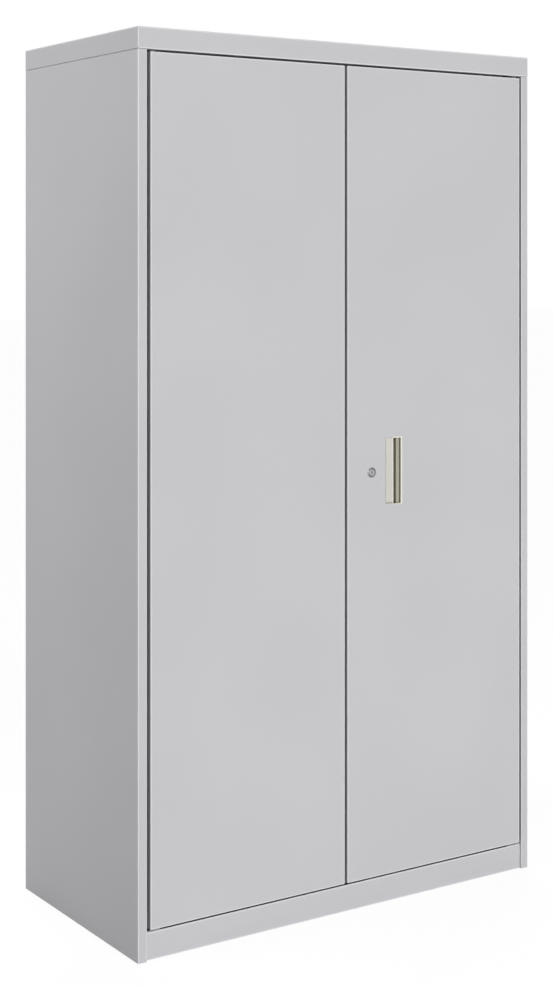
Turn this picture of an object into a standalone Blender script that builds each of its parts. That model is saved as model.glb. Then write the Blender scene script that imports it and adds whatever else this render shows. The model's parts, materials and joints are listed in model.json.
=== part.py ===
# Two-door steel storage cabinet: folded sheet carcass, tray doors on corner pivots, a key lock that
# drives two rods, adjustable shelves on slotted standards, and levelling glides.
# Metres, +Z up, front towards -Y, origin at the middle of the footprint on the floor.
import math

import bmesh
import bpy
from mathutils import Matrix, Vector

# Overall size
WIDTH = 0.9144
DEPTH = 0.4572
HEIGHT = 1.662

# Sheet steel, its bends, and the clearances between pieces
SHEET = 0.0009
DOOR_SHEET = 0.0009
SHELF_SHEET = 0.0009
HEAVY_SHEET = 0.0015
BEND = 0.0018
BEND_STEPS = 2
BEND_PROFILE_SHARE = 0.5
FIT = 0.0003
SLIDE_FIT = 0.0006
OVERRUN = 0.003

# Side panels, each with the front stile and the rear flange folded from it
STILE = 0.017
STILE_RETURN = 0.022
REAR_FLANGE = 0.018

# Top cap and the header behind its front skirt
CAP_SKIRT = 0.0395
CAP_LIP = 0.006
HEADER_RISE = 0.022
HEADER_STOP = 0.024
STOP_SPACE = 0.0015
STOP_CUTBACK = 0.035

# Back panel
BACK_FLANGE = 0.014
BACK_BOTTOM = 0.004

# Base pan: kick rail, ledge under the doors, riser and floor
KICK_HEIGHT = 0.050
KICK_SETBACK = 0.0045
KICK_RETURN = 0.014
LEDGE_END = 0.0265
FLOOR_RISE = 0.024
BASE_REAR_FLANGE = 0.030

# Side rails of the base, which carry the floor and the glides
RAIL_SHELF = 0.020
RAIL_FOOT = 0.036
RAIL_FOOT_Z = 0.014
RAIL_END_SPACE = 0.006

# Levelling glides
GLIDE_STEM_R = 0.004
GLIDE_PAD_R = 0.015
GLIDE_PAD_THICK = 0.007
GLIDE_PAD_CHAMFER = 0.002
GLIDE_LIFT = 0.001
GLIDE_STEM_TOP = 0.040
GLIDE_INSET_X = 0.021
GLIDE_INSET_Y = 0.050

# Doors
HINGE_GAP = 0.0058
PARTING_GAP = 0.0054
PARTING_X = -0.0029
DOOR_GAP_TOP = 0.003
DOOR_GAP_BOTTOM = 0.0035
DOOR_DEPTH = 0.020
DOOR_LIP = 0.016

# Door stiffeners, one hat section down the middle of each door
STIFFENER_WIDTH = 0.060
STIFFENER_FLANGE = 0.015
STIFFENER_DEPTH = 0.015
STIFFENER_END_SPACE = 0.040

# Corner pivots
PIVOT_INSET = 0.010
PIVOT_R = 0.003
PIVOT_REACH = 0.011
PIVOT_PLATE_WIDTH = 0.028
PIVOT_PLATE_SHEET = 0.0012
BUSH_WALL = 0.0016
BUSH_FLANGE_R = 0.007
BUSH_STEM = 0.004

# Shelf standards
STANDARD_WIDTH = 0.028
STANDARD_DEPTH = 0.0135
STANDARD_FRONT = 0.040
STANDARD_REAR = 0.022
STANDARD_END_SPACE = 0.004
SLOT_WIDTH = 0.0032
SLOT_HEIGHT = 0.014
SLOT_PITCH = 0.0508
SLOT_FIRST = 0.060

# Shelves and the hangers that hook into the standards
SHELF_FRONT = 0.034
SHELF_REAR = 0.012
SHELF_HEIGHT = 0.026
SHELF_LIP = 0.012
SHELF_COUNT = 4
HANGER_WEB = 0.022
HANGER_SEAT = 0.014
HANGER_BELOW = 0.008
HOOK_NECK = 0.006
HOOK_DROP = 0.005

# Pull on the right door
PULL_X = 0.1107
PULL_WIDTH = 0.0455
PULL_HEIGHT = 0.131
PULL_PROUD = 0.0018
PULL_RIM = 0.0036
PULL_WALL = 0.0016
PULL_DEPTH = 0.0165
PULL_LIP = 0.0186
PULL_LIP_THICK = 0.0032
PULL_CORNER = 0.0012

# Lock on the right door
LOCK_X = 0.058
LOCK_FACE_R = 0.01025
LOCK_PROUD = 0.0014
LOCK_BODY_R = 0.009
LOCK_BODY_END = 0.0118
LOCK_PLUG_R = 0.0062
LOCK_PLUG_SINK = 0.0004
LOCK_NUT_ACROSS = 0.023
LOCK_NUT_SIDES = 6
LOCK_NUT_THICK = 0.003
KEYWAY_WIDTH = 0.0018
KEYWAY_HEIGHT = 0.0075
KEYWAY_DEPTH = 0.006
CAM_R = 0.0135
CAM_SHEET = 0.002
CAM_PIN_THROW = 0.010
CAM_PIN_R = 0.002
CAM_PIN_SLACK = 0.0005
CAM_DRIVE = 0.004
CAM_SCREW_HEAD_R = 0.0026
CAM_SCREW_HEAD = 0.0011
CAM_SCREW_R = 0.001
CAM_SCREW_REACH = 0.004
CAM_QUARTER = 45

# Lock rods and the slide bolts, flat bars in moulded guides
BAR_SHEET = 0.0015
BAR_WIDTH = 0.008
BAR_EYE_WALL = 0.0015
BAR_EYE_HEIGHT = 0.0125
BAR_SHOULDER = 0.004
BAR_TIP_SPACE = 0.0005
BAR_TIP_CHAMFER = 0.002
GUIDE_WIDTH = 0.018
GUIDE_HEIGHT = 0.012
GUIDE_TAPER = 0.003
GUIDE_BACK = 0.0016
GUIDE_SHARES = (0.12, 0.86)
BOLT_LENGTH = 0.150
BOLT_EDGE = 0.030
BOLT_TAB = 0.012
BOLT_GUIDE_Z = 0.075
KEEPER_FIT = 0.0010

# Magnetic catches in the header's stop
CATCH_LENGTH = 0.046
CATCH_HEIGHT = 0.012
CATCH_DEPTH = 0.014
CATCH_BORDER = 0.003
CATCH_X = 0.090
CATCH_Z_BELOW = 0.007
CATCH_AIR = 0.0004

# Facets of round pieces, and the angle under which edges are shaded smooth
ROUND_STEPS = 24
SMALL_STEPS = 12
SMOOTH_ANGLE = 30

# Planes and levels that the sizes above give
FRONT = (PULL_PROUD - DEPTH) / 2
BACK = FRONT + DEPTH
INNER_X = WIDTH / 2 - SHEET
STILE_X = WIDTH / 2 - STILE
CAP_BOTTOM = HEIGHT - CAP_SKIRT
SIDE_TOP = CAP_BOTTOM - FIT
HEADER_Z = CAP_BOTTOM + SHEET + FIT
STOP_Y = FRONT + DOOR_DEPTH + STOP_SPACE
FLOOR_Z = KICK_HEIGHT + FLOOR_RISE
BACK_FACE = BACK - 2 * SHEET - 2 * FIT
BASE_X = INNER_X - SHEET - 2 * FIT
DOOR_TOP = CAP_BOTTOM - DOOR_GAP_TOP
DOOR_BOTTOM = KICK_HEIGHT + DOOR_GAP_BOTTOM
DOOR_MIDDLE = (DOOR_TOP + DOOR_BOTTOM) / 2
DOOR_EDGE_X = STILE_X - HINGE_GAP
SKIN_BACK = FRONT + DOOR_SHEET
DOOR_BACK = FRONT + DOOR_DEPTH
PIVOT_X = DOOR_EDGE_X - PIVOT_INSET
PIVOT_Y = FRONT + PIVOT_INSET
STANDARD_X = INNER_X - FIT - STANDARD_DEPTH
HANGER_X = STANDARD_X - FIT
SHELF_X = HANGER_X - HEAVY_SHEET - FIT
STANDARD_BOTTOM = FLOOR_Z + STANDARD_END_SPACE
STANDARD_TOP = CAP_BOTTOM - STANDARD_END_SPACE
CAM_FRONT = FRONT + LOCK_BODY_END + FIT
BAR_FRONT = CAM_FRONT + CAM_SHEET + FIT
BAR_BACK = BAR_FRONT + BAR_SHEET
PIN_REST = CAM_PIN_THROW * math.cos(math.radians(CAM_QUARTER))
EYE_INNER = PIN_REST - CAM_PIN_R - CAM_PIN_SLACK - BAR_EYE_WALL
EYE_OUTER = CAM_PIN_THROW + CAM_PIN_R + CAM_PIN_SLACK + BAR_EYE_WALL
ROD_X = EYE_INNER + BAR_WIDTH / 2
BUSH_BORE = PIVOT_R + SLIDE_FIT
BUSH_R = BUSH_BORE + BUSH_WALL

AXES = {"x": Vector((1, 0, 0)), "y": Vector((0, 1, 0)), "z": Vector((0, 0, 1))}

for old in list(bpy.data.objects):
    bpy.data.objects.remove(old, do_unlink=True)

parts = bpy.data.collections.new("storage_cabinet")
cutters = bpy.data.collections.new("cutters")
bpy.context.scene.collection.children.link(parts)
bpy.context.scene.collection.children.link(cutters)


def material(name, colour, roughness, metallic=0.0):
    made = bpy.data.materials.new(name)
    made.use_nodes = True
    shader = made.node_tree.nodes["Principled BSDF"]
    shader.inputs["Base Color"].default_value = (*colour, 1)
    shader.inputs["Roughness"].default_value = roughness
    shader.inputs["Metallic"].default_value = metallic
    return made


GREY = material("grey powder coat", (0.57, 0.57, 0.58), 0.55)
ZINC = material("zinc plated steel", (0.62, 0.62, 0.60), 0.35, 1.0)
NICKEL = material("nickel plated die casting", (0.55, 0.55, 0.54), 0.3, 1.0)
CREAM = material("satin moulded pull", (0.65, 0.62, 0.55), 0.4)
BLACK = material("black nylon", (0.03, 0.03, 0.03), 0.5)
WHITE = material("white nylon", (0.75, 0.75, 0.72), 0.5)


def empty(name, at):
    made = bpy.data.objects.new(name, None)
    made.location = at
    parts.objects.link(made)
    return made


def add(name, shape, finish, origin=(0, 0, 0), parent=None, turned=None, cutter=False):
    # The shape is given in place; its own origin goes to the point named.
    origin = Vector(origin)
    mesh = bpy.data.meshes.new(name)
    if turned is None:
        bmesh.ops.translate(shape, verts=shape.verts, vec=-origin)
    shape.to_mesh(mesh)
    shape.free()
    made = bpy.data.objects.new(name, mesh)
    made.location = origin - (parent.location if parent else Vector())
    made.parent = parent
    if turned:
        made.rotation_euler = turned
    if cutter:
        made.hide_render = True
        made.display_type = "WIRE"
        cutters.objects.link(made)
    else:
        mesh.materials.append(finish)
        parts.objects.link(made)
    return made


def block(low, high):
    shape = bmesh.new()
    bmesh.ops.create_cube(shape, size=1)
    low = Vector(low)
    high = Vector(high)
    size = high - low
    bmesh.ops.scale(shape, verts=shape.verts, vec=size)
    bmesh.ops.translate(shape, verts=shape.verts, vec=(low + high) / 2)
    return shape


def merged(shapes):
    # Several separate closed shapes in one mesh, for a cutter or a union.
    whole = bmesh.new()
    for shape in shapes:
        mesh = bpy.data.meshes.new("piece")
        shape.to_mesh(mesh)
        shape.free()
        whole.from_mesh(mesh)
        bpy.data.meshes.remove(mesh)
    return whole


def cylinder(centre, radius, low, high, axis="z", steps=ROUND_STEPS, turn=0.0):
    # A cylinder from low to high along the axis, through the centre.
    shape = bmesh.new()
    bmesh.ops.create_cone(shape, cap_ends=True, segments=steps, radius1=radius, radius2=radius,
                          depth=high - low)
    bmesh.ops.rotate(shape, verts=shape.verts, matrix=Matrix.Rotation(turn, 3, "Z"))
    tilt = {"x": Matrix.Rotation(math.pi / 2, 3, "Y"), "y": Matrix.Rotation(-math.pi / 2, 3, "X"),
            "z": Matrix.Identity(3)}[axis]
    bmesh.ops.rotate(shape, verts=shape.verts, matrix=tilt)
    middle = Vector(centre)
    middle["xyz".index(axis)] = (low + high) / 2
    bmesh.ops.translate(shape, verts=shape.verts, vec=middle)
    return shape


def mirrored(shape):
    # The same shape on the other side of the cabinet.
    bmesh.ops.scale(shape, verts=shape.verts, vec=(-1, 1, 1))
    bmesh.ops.reverse_faces(shape, faces=shape.faces)
    return shape


def rounded_path(points, sheet):
    # Corners become arcs: the full bend radius where the metal is inside the turn, less outside.
    path = [Vector(points[0])]
    for before, corner, after in zip(points, points[1:], points[2:]):
        before, corner, after = Vector(before), Vector(corner), Vector(after)
        coming = (corner - before).normalized()
        going = (after - corner).normalized()
        left = coming.x * going.y - coming.y * going.x > 0
        radius = BEND if left else BEND - sheet
        turn = coming.angle(going)
        run = radius * math.tan(turn / 2)
        side = Vector((-coming.y, coming.x)) * (1 if left else -1)
        start = corner - coming * run
        centre = start + side * radius
        for step in range(BEND_STEPS + 1):
            angle = turn * step / BEND_STEPS
            path.append(centre - side * radius * math.cos(angle) + coming * radius * math.sin(angle))
    path.append(Vector(points[-1]))
    return path


def folded(name, points, plane, low, high, finish, sheet=SHEET, mirror=False, **place):
    # A sheet bent along a path of two coordinates and run from low to high along the third.
    # The metal lies to the left of the path.
    u, v = AXES[plane[0]], AXES[plane[1]]
    along = u.cross(v)
    positive = along.x + along.y + along.z > 0
    first, last = (low, high) if positive else (high, low)
    run = along if positive else -along
    shape = bmesh.new()
    path = rounded_path(points, sheet)
    starts = [shape.verts.new(u * p.x + v * p.y + run * first) for p in path]
    ends = [shape.verts.new(u * p.x + v * p.y + run * last) for p in path]
    for a, b, c, d in zip(starts, starts[1:], ends[1:], ends):
        shape.faces.new((a, b, c, d))
    if mirror:
        mirrored(shape)
    made = add(name, shape, finish, **place)
    thicken(made, sheet)
    return made


def thicken(made, sheet):
    solid = made.modifiers.new("sheet", "SOLIDIFY")
    solid.thickness = sheet
    solid.offset = -1
    solid.use_even_offset = True
    return solid


def tray(name, low, high, open_side, lip, finish, sheet=SHEET, **place):
    # A box of sheet with one open side, whose edges may turn in as a lip all round.
    shape = block(low, high)
    shape.faces.ensure_lookup_table()
    outward = Vector(open_side)
    mouth = max(shape.faces, key=lambda face: face.normal.dot(outward))
    rims = [edge for edge in shape.edges]
    bmesh.ops.inset_region(shape, faces=[mouth], thickness=lip, use_even_offset=True)
    bmesh.ops.delete(shape, geom=[mouth], context="FACES")
    bmesh.ops.bevel(shape, geom=rims, offset=BEND, offset_type="OFFSET", segments=BEND_STEPS,
                    profile=BEND_PROFILE_SHARE, affect="EDGES", clamp_overlap=True)
    made = add(name, shape, finish, **place)
    thicken(made, sheet)
    return made


def cut(made, name, shape):
    tool = add(name, shape, None, parent=made.parent, cutter=True)
    step = made.modifiers.new(name, "BOOLEAN")
    step.operation = "DIFFERENCE"
    step.solver = "EXACT"
    step.object = tool
    return step


def join(made, name, shape):
    step = cut(made, name, shape)
    step.operation = "UNION"
    return step


def turned_profile(name, profile, finish, closed, steps=ROUND_STEPS, **place):
    # A profile of radius and height, run down its outer side and turned about its own Z axis.
    shape = bmesh.new()
    verts = [shape.verts.new((radius, 0, height)) for radius, height in profile]
    for a, b in zip(verts, verts[1:]):
        shape.edges.new((a, b))
    if closed:
        shape.edges.new((verts[-1], verts[0]))
    made = add(name, shape, finish, turned=place.pop("turned", (0, 0, 0)), **place)
    screw = made.modifiers.new("turn", "SCREW")
    screw.axis = "Z"
    screw.steps = steps
    screw.render_steps = steps
    screw.use_merge_vertices = True
    screw.merge_threshold = FIT / ROUND_STEPS
    screw.use_normal_calculate = False
    return made


def outline(name, points, plane, low, high, finish, holes=(), **place):
    # A flat outline in a plane, made into a plate from low to high along the third axis.
    # Holes are further outlines inside it.
    u, v = AXES[plane[0]], AXES[plane[1]]
    away = u.cross(v)
    curve = bpy.data.curves.new(name, "CURVE")
    curve.dimensions = "2D"
    curve.fill_mode = "BOTH"
    curve.extrude = (high - low) / 2
    for loop in (points, *holes):
        spline = curve.splines.new("POLY")
        spline.points.add(len(loop) - 1)
        for point, place_at in zip(spline.points, loop):
            point.co = (*place_at, 0, 1)
        spline.use_cyclic_u = True
    drawn = bpy.data.objects.new(name, curve)
    cutters.objects.link(drawn)
    bpy.context.view_layer.update()
    mesh = bpy.data.meshes.new_from_object(drawn.evaluated_get(bpy.context.evaluated_depsgraph_get()))
    bpy.data.objects.remove(drawn)
    shape = bmesh.new()
    shape.from_mesh(mesh)
    bpy.data.meshes.remove(mesh)
    bmesh.ops.remove_doubles(shape, verts=shape.verts, dist=FIT / ROUND_STEPS)
    turn = Matrix((u, v, away)).transposed().to_4x4()
    sign = 1 if away.x + away.y + away.z > 0 else -1
    turn.translation = away * sign * (low + high) / 2
    bmesh.ops.transform(shape, verts=shape.verts, matrix=turn)
    return add(name, shape, finish, **place)


def arc(centre, radius, start, end, steps):
    # Points along an arc, angles in degrees.
    angles = [math.radians(start + (end - start) * step / steps) for step in range(steps + 1)]
    return [(centre[0] + radius * math.cos(a), centre[1] + radius * math.sin(a)) for a in angles]


def slot_loop(centre, half_length, radius):
    # A slot with round ends, lying along the first axis.
    steps = SMALL_STEPS // 2
    right = arc((centre[0] + half_length, centre[1]), radius, -90, 90, steps)
    left = arc((centre[0] - half_length, centre[1]), radius, 90, 270, steps)
    return right + left


SIDES = (("left", -1), ("right", 1))


def sided(shape, sign):
    return shape if sign < 0 else mirrored(shape)


def side_panels():
    # Stile return, stile, side, rear flange: one sheet, seen from above.
    points = [(-STILE_X, FRONT + STILE_RETURN), (-STILE_X, FRONT), (-WIDTH / 2, FRONT),
              (-WIDTH / 2, BACK), (-WIDTH / 2 + REAR_FLANGE, BACK)]
    points = points[::-1]
    for side, sign in SIDES:
        folded("side_panel_" + side, points, "xy", 0, SIDE_TOP, GREY, mirror=sign > 0)


def back_panel():
    # A flat sheet with both edges turned forward against the side panels.
    edge = INNER_X - FIT
    rear = BACK - SHEET - FIT
    points = [(edge, rear - BACK_FLANGE), (edge, rear), (-edge, rear), (-edge, rear - BACK_FLANGE)]
    folded("back_panel", points, "xy", BACK_BOTTOM, CAP_BOTTOM - FIT, GREY)


def keeper(x, y):
    # The cutter for a slot that a bar's tip enters.
    half_x = BAR_WIDTH / 2 + KEEPER_FIT
    half_y = BAR_SHEET / 2 + KEEPER_FIT
    return (x - half_x, y - half_y), (x + half_x, y + half_y)


def top_and_header():
    tray("top_cap", (-WIDTH / 2, FRONT, CAP_BOTTOM), (WIDTH / 2, BACK, HEIGHT), (0, 0, -1), CAP_LIP,
         GREY)
    edge = STILE_X - FIT
    front = FRONT + SHEET + FIT
    points = [(front, HEADER_Z + HEADER_RISE), (front, HEADER_Z), (STOP_Y, HEADER_Z),
              (STOP_Y, HEADER_Z - HEADER_STOP)]
    header = folded("door_header", points, "yz", -edge, edge, GREY)
    # The stop is cut back at both ends, where the doors' hinge corners swing through.
    ends = [block((min(a, b), STOP_Y - BEND, HEADER_Z - HEADER_STOP - OVERRUN),
                  (max(a, b), STOP_Y + SHEET + OVERRUN, HEADER_Z - FIT))
            for a, b in ((-edge - OVERRUN, -edge + STOP_CUTBACK), (edge - STOP_CUTBACK, edge + OVERRUN))]
    holes = []
    for x in bar_places().values():
        low, high = keeper(x, (BAR_FRONT + BAR_BACK) / 2)
        holes.append(block((*low, HEADER_Z - OVERRUN), (*high, HEADER_Z + SHEET + OVERRUN)))
    for x in catch_places().values():
        low, high = catch_window(x)
        holes.append(block((low[0], STOP_Y - OVERRUN, low[1]),
                           (high[0], STOP_Y + SHEET + OVERRUN, high[1])))
    cut(header, "header_openings", merged(ends + holes))


def bar_places():
    # Where each bar's tip comes through the top or bottom of its door.
    return {"rod_upper": LOCK_X + ROD_X, "bolt": -BOLT_EDGE + PARTING_X}


def catch_places():
    return {"left": PARTING_X - CATCH_X, "right": PARTING_X + CATCH_X}


def catch_window(x):
    # The opening in the stop for a catch's face, seen from the front.
    half = CATCH_LENGTH / 2 - CATCH_BORDER + FIT
    middle = DOOR_TOP - CATCH_Z_BELOW
    half_z = CATCH_HEIGHT / 2 - CATCH_BORDER / 2 + FIT
    return (x - half, middle - half_z), (x + half, middle + half_z)


def base():
    kick = FRONT + KICK_SETBACK
    riser = FRONT + LEDGE_END
    rear = BACK_FACE - BEND
    points = [(rear, FLOOR_Z - BASE_REAR_FLANGE), (rear, FLOOR_Z), (riser, FLOOR_Z),
              (riser, KICK_HEIGHT), (kick, KICK_HEIGHT), (kick, 0), (kick + KICK_RETURN, 0)]
    pan = folded("base_pan", points, "yz", -BASE_X, BASE_X, GREY)
    pieces = []
    for sign in (-1, 1):
        corner = block((-BASE_X - OVERRUN, FRONT - OVERRUN, -OVERRUN),
                       (-STILE_X + FIT, FRONT + STILE_RETURN + FIT, FLOOR_Z + OVERRUN))
        pieces.append(sided(corner, sign))
    for x in (LOCK_X - ROD_X, bar_places()["bolt"]):
        low, high = keeper(x, (BAR_FRONT + BAR_BACK) / 2)
        pieces.append(block((*low, KICK_HEIGHT - SHEET - OVERRUN), (*high, KICK_HEIGHT + OVERRUN)))
    cut(pan, "base_openings", merged(pieces))


def base_rails():
    # Channels along the sides: the floor rests on the top flange, the glides screw into the foot.
    outer = -INNER_X + FIT
    top = FLOOR_Z - SHEET - FIT
    front = FRONT + STILE_RETURN + RAIL_END_SPACE
    rear = BACK - SHEET - 2 * FIT - BACK_FLANGE
    points = [(outer + RAIL_SHELF, top), (outer, top), (outer, RAIL_FOOT_Z),
              (outer + RAIL_FOOT, RAIL_FOOT_Z)]
    for side, sign in SIDES:
        rail = folded("base_rail_" + side, points, "xz", front, rear, GREY, sheet=HEAVY_SHEET,
                      mirror=sign > 0)
        holes = [cylinder((outer + GLIDE_INSET_X, y, 0), GLIDE_STEM_R + SLIDE_FIT,
                          RAIL_FOOT_Z - OVERRUN, RAIL_FOOT_Z + HEAVY_SHEET + OVERRUN)
                 for y in glide_rows()]
        cut(rail, "glide_holes_" + side, sided(merged(holes), sign))


def glide_rows():
    return FRONT + GLIDE_INSET_Y, BACK - GLIDE_INSET_Y


def glides():
    # A foot pad turned in one with its screw. It runs down from its lifted place.
    profile = [(0, GLIDE_STEM_TOP), (GLIDE_STEM_R, GLIDE_STEM_TOP),
               (GLIDE_STEM_R, GLIDE_LIFT + GLIDE_PAD_THICK),
               (GLIDE_PAD_R - GLIDE_PAD_CHAMFER, GLIDE_LIFT + GLIDE_PAD_THICK),
               (GLIDE_PAD_R, GLIDE_LIFT + GLIDE_PAD_THICK - GLIDE_PAD_CHAMFER),
               (GLIDE_PAD_R, GLIDE_LIFT + GLIDE_PAD_CHAMFER),
               (GLIDE_PAD_R - GLIDE_PAD_CHAMFER, GLIDE_LIFT), (0, GLIDE_LIFT)]
    x = INNER_X - FIT - GLIDE_INSET_X
    for row, y in zip(("front", "rear"), glide_rows()):
        for side, sign in SIDES:
            axis = empty("axis_glide_" + row + "_" + side, (x * sign, y, 0))
            turned_profile("glide_" + row + "_" + side, profile, ZINC, closed=False,
                           origin=(x * sign, y, 0), parent=axis)


def standard_rows():
    # The front and the rear standard on each side, as a lowest and highest y.
    front = FRONT + STANDARD_FRONT
    rear = BACK_FACE - STANDARD_REAR
    return {"front": (front, front + STANDARD_WIDTH), "rear": (rear - STANDARD_WIDTH, rear)}


def slot_levels():
    room = STANDARD_TOP - STANDARD_BOTTOM - 2 * SLOT_FIRST
    count = int(room / SLOT_PITCH) + 1
    return [STANDARD_BOTTOM + SLOT_FIRST + step * SLOT_PITCH for step in range(count)]


def standards():
    for row, (low, high) in standard_rows().items():
        points = [(-INNER_X + FIT, low), (-STANDARD_X, low), (-STANDARD_X, high), (-INNER_X + FIT, high)]
        middle = (low + high) / 2
        for side, sign in SIDES:
            made = folded("standard_" + row + "_" + side, points, "xy", STANDARD_BOTTOM, STANDARD_TOP,
                          ZINC, sheet=HEAVY_SHEET, mirror=sign > 0)
            slots = [block((-STANDARD_X - HEAVY_SHEET - OVERRUN, middle - SLOT_WIDTH / 2, level),
                           (-STANDARD_X + OVERRUN, middle + SLOT_WIDTH / 2, level + SLOT_HEIGHT))
                     for level in slot_levels()]
            cut(made, "slots_" + row + "_" + side, sided(merged(slots), sign))


def shelf_slots():
    # The slots that hold shelves, an equal number apart from the floor to the top.
    levels = slot_levels()
    step = round((len(levels) + 1) / (SHELF_COUNT + 1))
    return [levels[step * number - 1] for number in range(1, SHELF_COUNT + 1)]


def shelves():
    rows = standard_rows()
    for number, slot in enumerate(shelf_slots(), start=1):
        under = slot - HANGER_BELOW
        seat = under + HEAVY_SHEET + FIT
        tray("shelf_%d" % number, (-SHELF_X, FRONT + SHELF_FRONT, seat),
             (SHELF_X, BACK_FACE - SHELF_REAR, seat + SHELF_HEIGHT), (0, 0, -1), SHELF_LIP, GREY,
             sheet=SHELF_SHEET)
        points = [(-HANGER_X, under + HANGER_WEB), (-HANGER_X, under),
                  (-HANGER_X + HEAVY_SHEET + HANGER_SEAT, under)]
        for side, sign in SIDES:
            hanger = folded("hanger_%d_%s" % (number, side), points, "xz", rows["front"][0],
                            rows["rear"][1], ZINC, sheet=HEAVY_SHEET, mirror=sign > 0)
            for row, (low, high) in rows.items():
                hook = shelf_hook((low + high) / 2, slot)
                join(hanger, "hook_%d_%s_%s" % (number, side, row), sided(hook, sign))


def shelf_hook(y, slot):
    # Through the slot and down behind the standard, one flat L seen from the front.
    behind = -STANDARD_X - HEAVY_SHEET - FIT
    root = -HANGER_X + HEAVY_SHEET / 2
    top = slot + FIT + HOOK_NECK
    points = [(root, slot + FIT), (root, top), (behind - HEAVY_SHEET, top),
              (behind - HEAVY_SHEET, slot - HOOK_DROP), (behind, slot - HOOK_DROP),
              (behind, slot + FIT)]
    shape = bmesh.new()
    half = SLOT_WIDTH / 2 - FIT
    face = shape.faces.new([shape.verts.new((x, y - half, z)) for x, z in points])
    grown = bmesh.ops.extrude_face_region(shape, geom=[face])
    moved = [item for item in grown["geom"] if isinstance(item, bmesh.types.BMVert)]
    bmesh.ops.translate(shape, verts=moved, vec=(0, 2 * half, 0))
    bmesh.ops.recalc_face_normals(shape, faces=shape.faces)
    return shape


def door_spans():
    return {"left": (-DOOR_EDGE_X, PARTING_X - PARTING_GAP / 2),
            "right": (PARTING_X + PARTING_GAP / 2, DOOR_EDGE_X)}


def doors():
    made = {}
    for side, sign in SIDES:
        low, high = door_spans()[side]
        pivot = Vector((PIVOT_X * sign, PIVOT_Y, 0))
        axis = empty("axis_door_" + side, pivot)
        place = {"origin": pivot, "parent": axis}
        door = tray("door_" + side, (low, FRONT, DOOR_BOTTOM), (high, DOOR_BACK, DOOR_TOP), (0, 1, 0),
                    DOOR_LIP, GREY, sheet=DOOR_SHEET, **place)
        holes = [cylinder(pivot, BUSH_R + FIT, level - OVERRUN, level + OVERRUN)
                 for level in (DOOR_BOTTOM, DOOR_TOP)]
        for x, end in bar_ends(side):
            holes.append(bar_hole(x, end))
        cut(door, "door_holes_" + side, merged(holes))
        bushes(side, place)
        stiffener(side, (low + high) / 2, place)
        made[side] = (door, place)
    return made


def bar_ends(side):
    # The x of each bar on a door and the door edge that it comes through.
    if side == "left":
        return [(bar_places()["bolt"], DOOR_BOTTOM), (bar_places()["bolt"], DOOR_TOP)]
    return [(LOCK_X - ROD_X, DOOR_BOTTOM), (LOCK_X + ROD_X, DOOR_TOP)]


def bar_hole(x, level):
    half_x = BAR_WIDTH / 2 + SLIDE_FIT
    return block((x - half_x, BAR_FRONT - SLIDE_FIT, level - OVERRUN),
                 (x + half_x, BAR_BACK + SLIDE_FIT, level + OVERRUN))


def bushes(side, place):
    # Flanged bushes, whose flanges are the thrust washers between door and pivot plate.
    axis = place["parent"]
    plate_top = KICK_HEIGHT + FIT + PIVOT_PLATE_SHEET
    plate_under = HEADER_Z - FIT - PIVOT_PLATE_SHEET
    lower = [(BUSH_R, DOOR_BOTTOM + DOOR_SHEET + BUSH_STEM), (BUSH_R, DOOR_BOTTOM - FIT),
             (BUSH_FLANGE_R, DOOR_BOTTOM - FIT), (BUSH_FLANGE_R, plate_top + FIT),
             (BUSH_BORE, plate_top + FIT), (BUSH_BORE, DOOR_BOTTOM + DOOR_SHEET + BUSH_STEM)]
    upper = [(BUSH_FLANGE_R, plate_under - FIT), (BUSH_FLANGE_R, DOOR_TOP + FIT),
             (BUSH_R, DOOR_TOP + FIT), (BUSH_R, DOOR_TOP - DOOR_SHEET - BUSH_STEM),
             (BUSH_BORE, DOOR_TOP - DOOR_SHEET - BUSH_STEM), (BUSH_BORE, plate_under - FIT)]
    for level, profile in (("lower", lower), ("upper", upper)):
        turned_profile("bush_" + level + "_" + side, profile, WHITE, closed=True,
                       origin=axis.location, parent=axis)


def stiffener(side, middle, place):
    # A hat section on the back of the door skin.
    near = SKIN_BACK + FIT
    far = near + STIFFENER_DEPTH
    half = STIFFENER_WIDTH / 2
    crown = half - STIFFENER_FLANGE
    points = [(middle - half, near), (middle - crown, near), (middle - crown, far),
              (middle + crown, far), (middle + crown, near), (middle + half, near)]
    folded("stiffener_" + side, points, "xy", DOOR_BOTTOM + STIFFENER_END_SPACE,
           DOOR_TOP - STIFFENER_END_SPACE, GREY, sheet=DOOR_SHEET, **place)


def pivot_plates():
    half = PIVOT_PLATE_WIDTH / 2
    low_z = KICK_HEIGHT + FIT
    high_z = HEADER_Z - FIT
    levels = {
        "lower": (low_z, low_z + PIVOT_PLATE_SHEET, FRONT + KICK_SETBACK + BEND,
                  FRONT + LEDGE_END - BEND, low_z + PIVOT_PLATE_SHEET / 2,
                  low_z + PIVOT_PLATE_SHEET + PIVOT_REACH),
        "upper": (high_z - PIVOT_PLATE_SHEET, high_z, FRONT + CAP_LIP + FIT, STOP_Y - BEND,
                  high_z - PIVOT_PLATE_SHEET - PIVOT_REACH, high_z - PIVOT_PLATE_SHEET / 2),
    }
    for level, (under, top, near, far, pin_low, pin_high) in levels.items():
        for side, sign in SIDES:
            x = PIVOT_X * sign
            plate = add("pivot_plate_" + level + "_" + side,
                        block((x - half, near, under), (x + half, far, top)), ZINC)
            join(plate, "pin_" + level + "_" + side,
                 cylinder((x, PIVOT_Y, 0), PIVOT_R, pin_low, pin_high))


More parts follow.
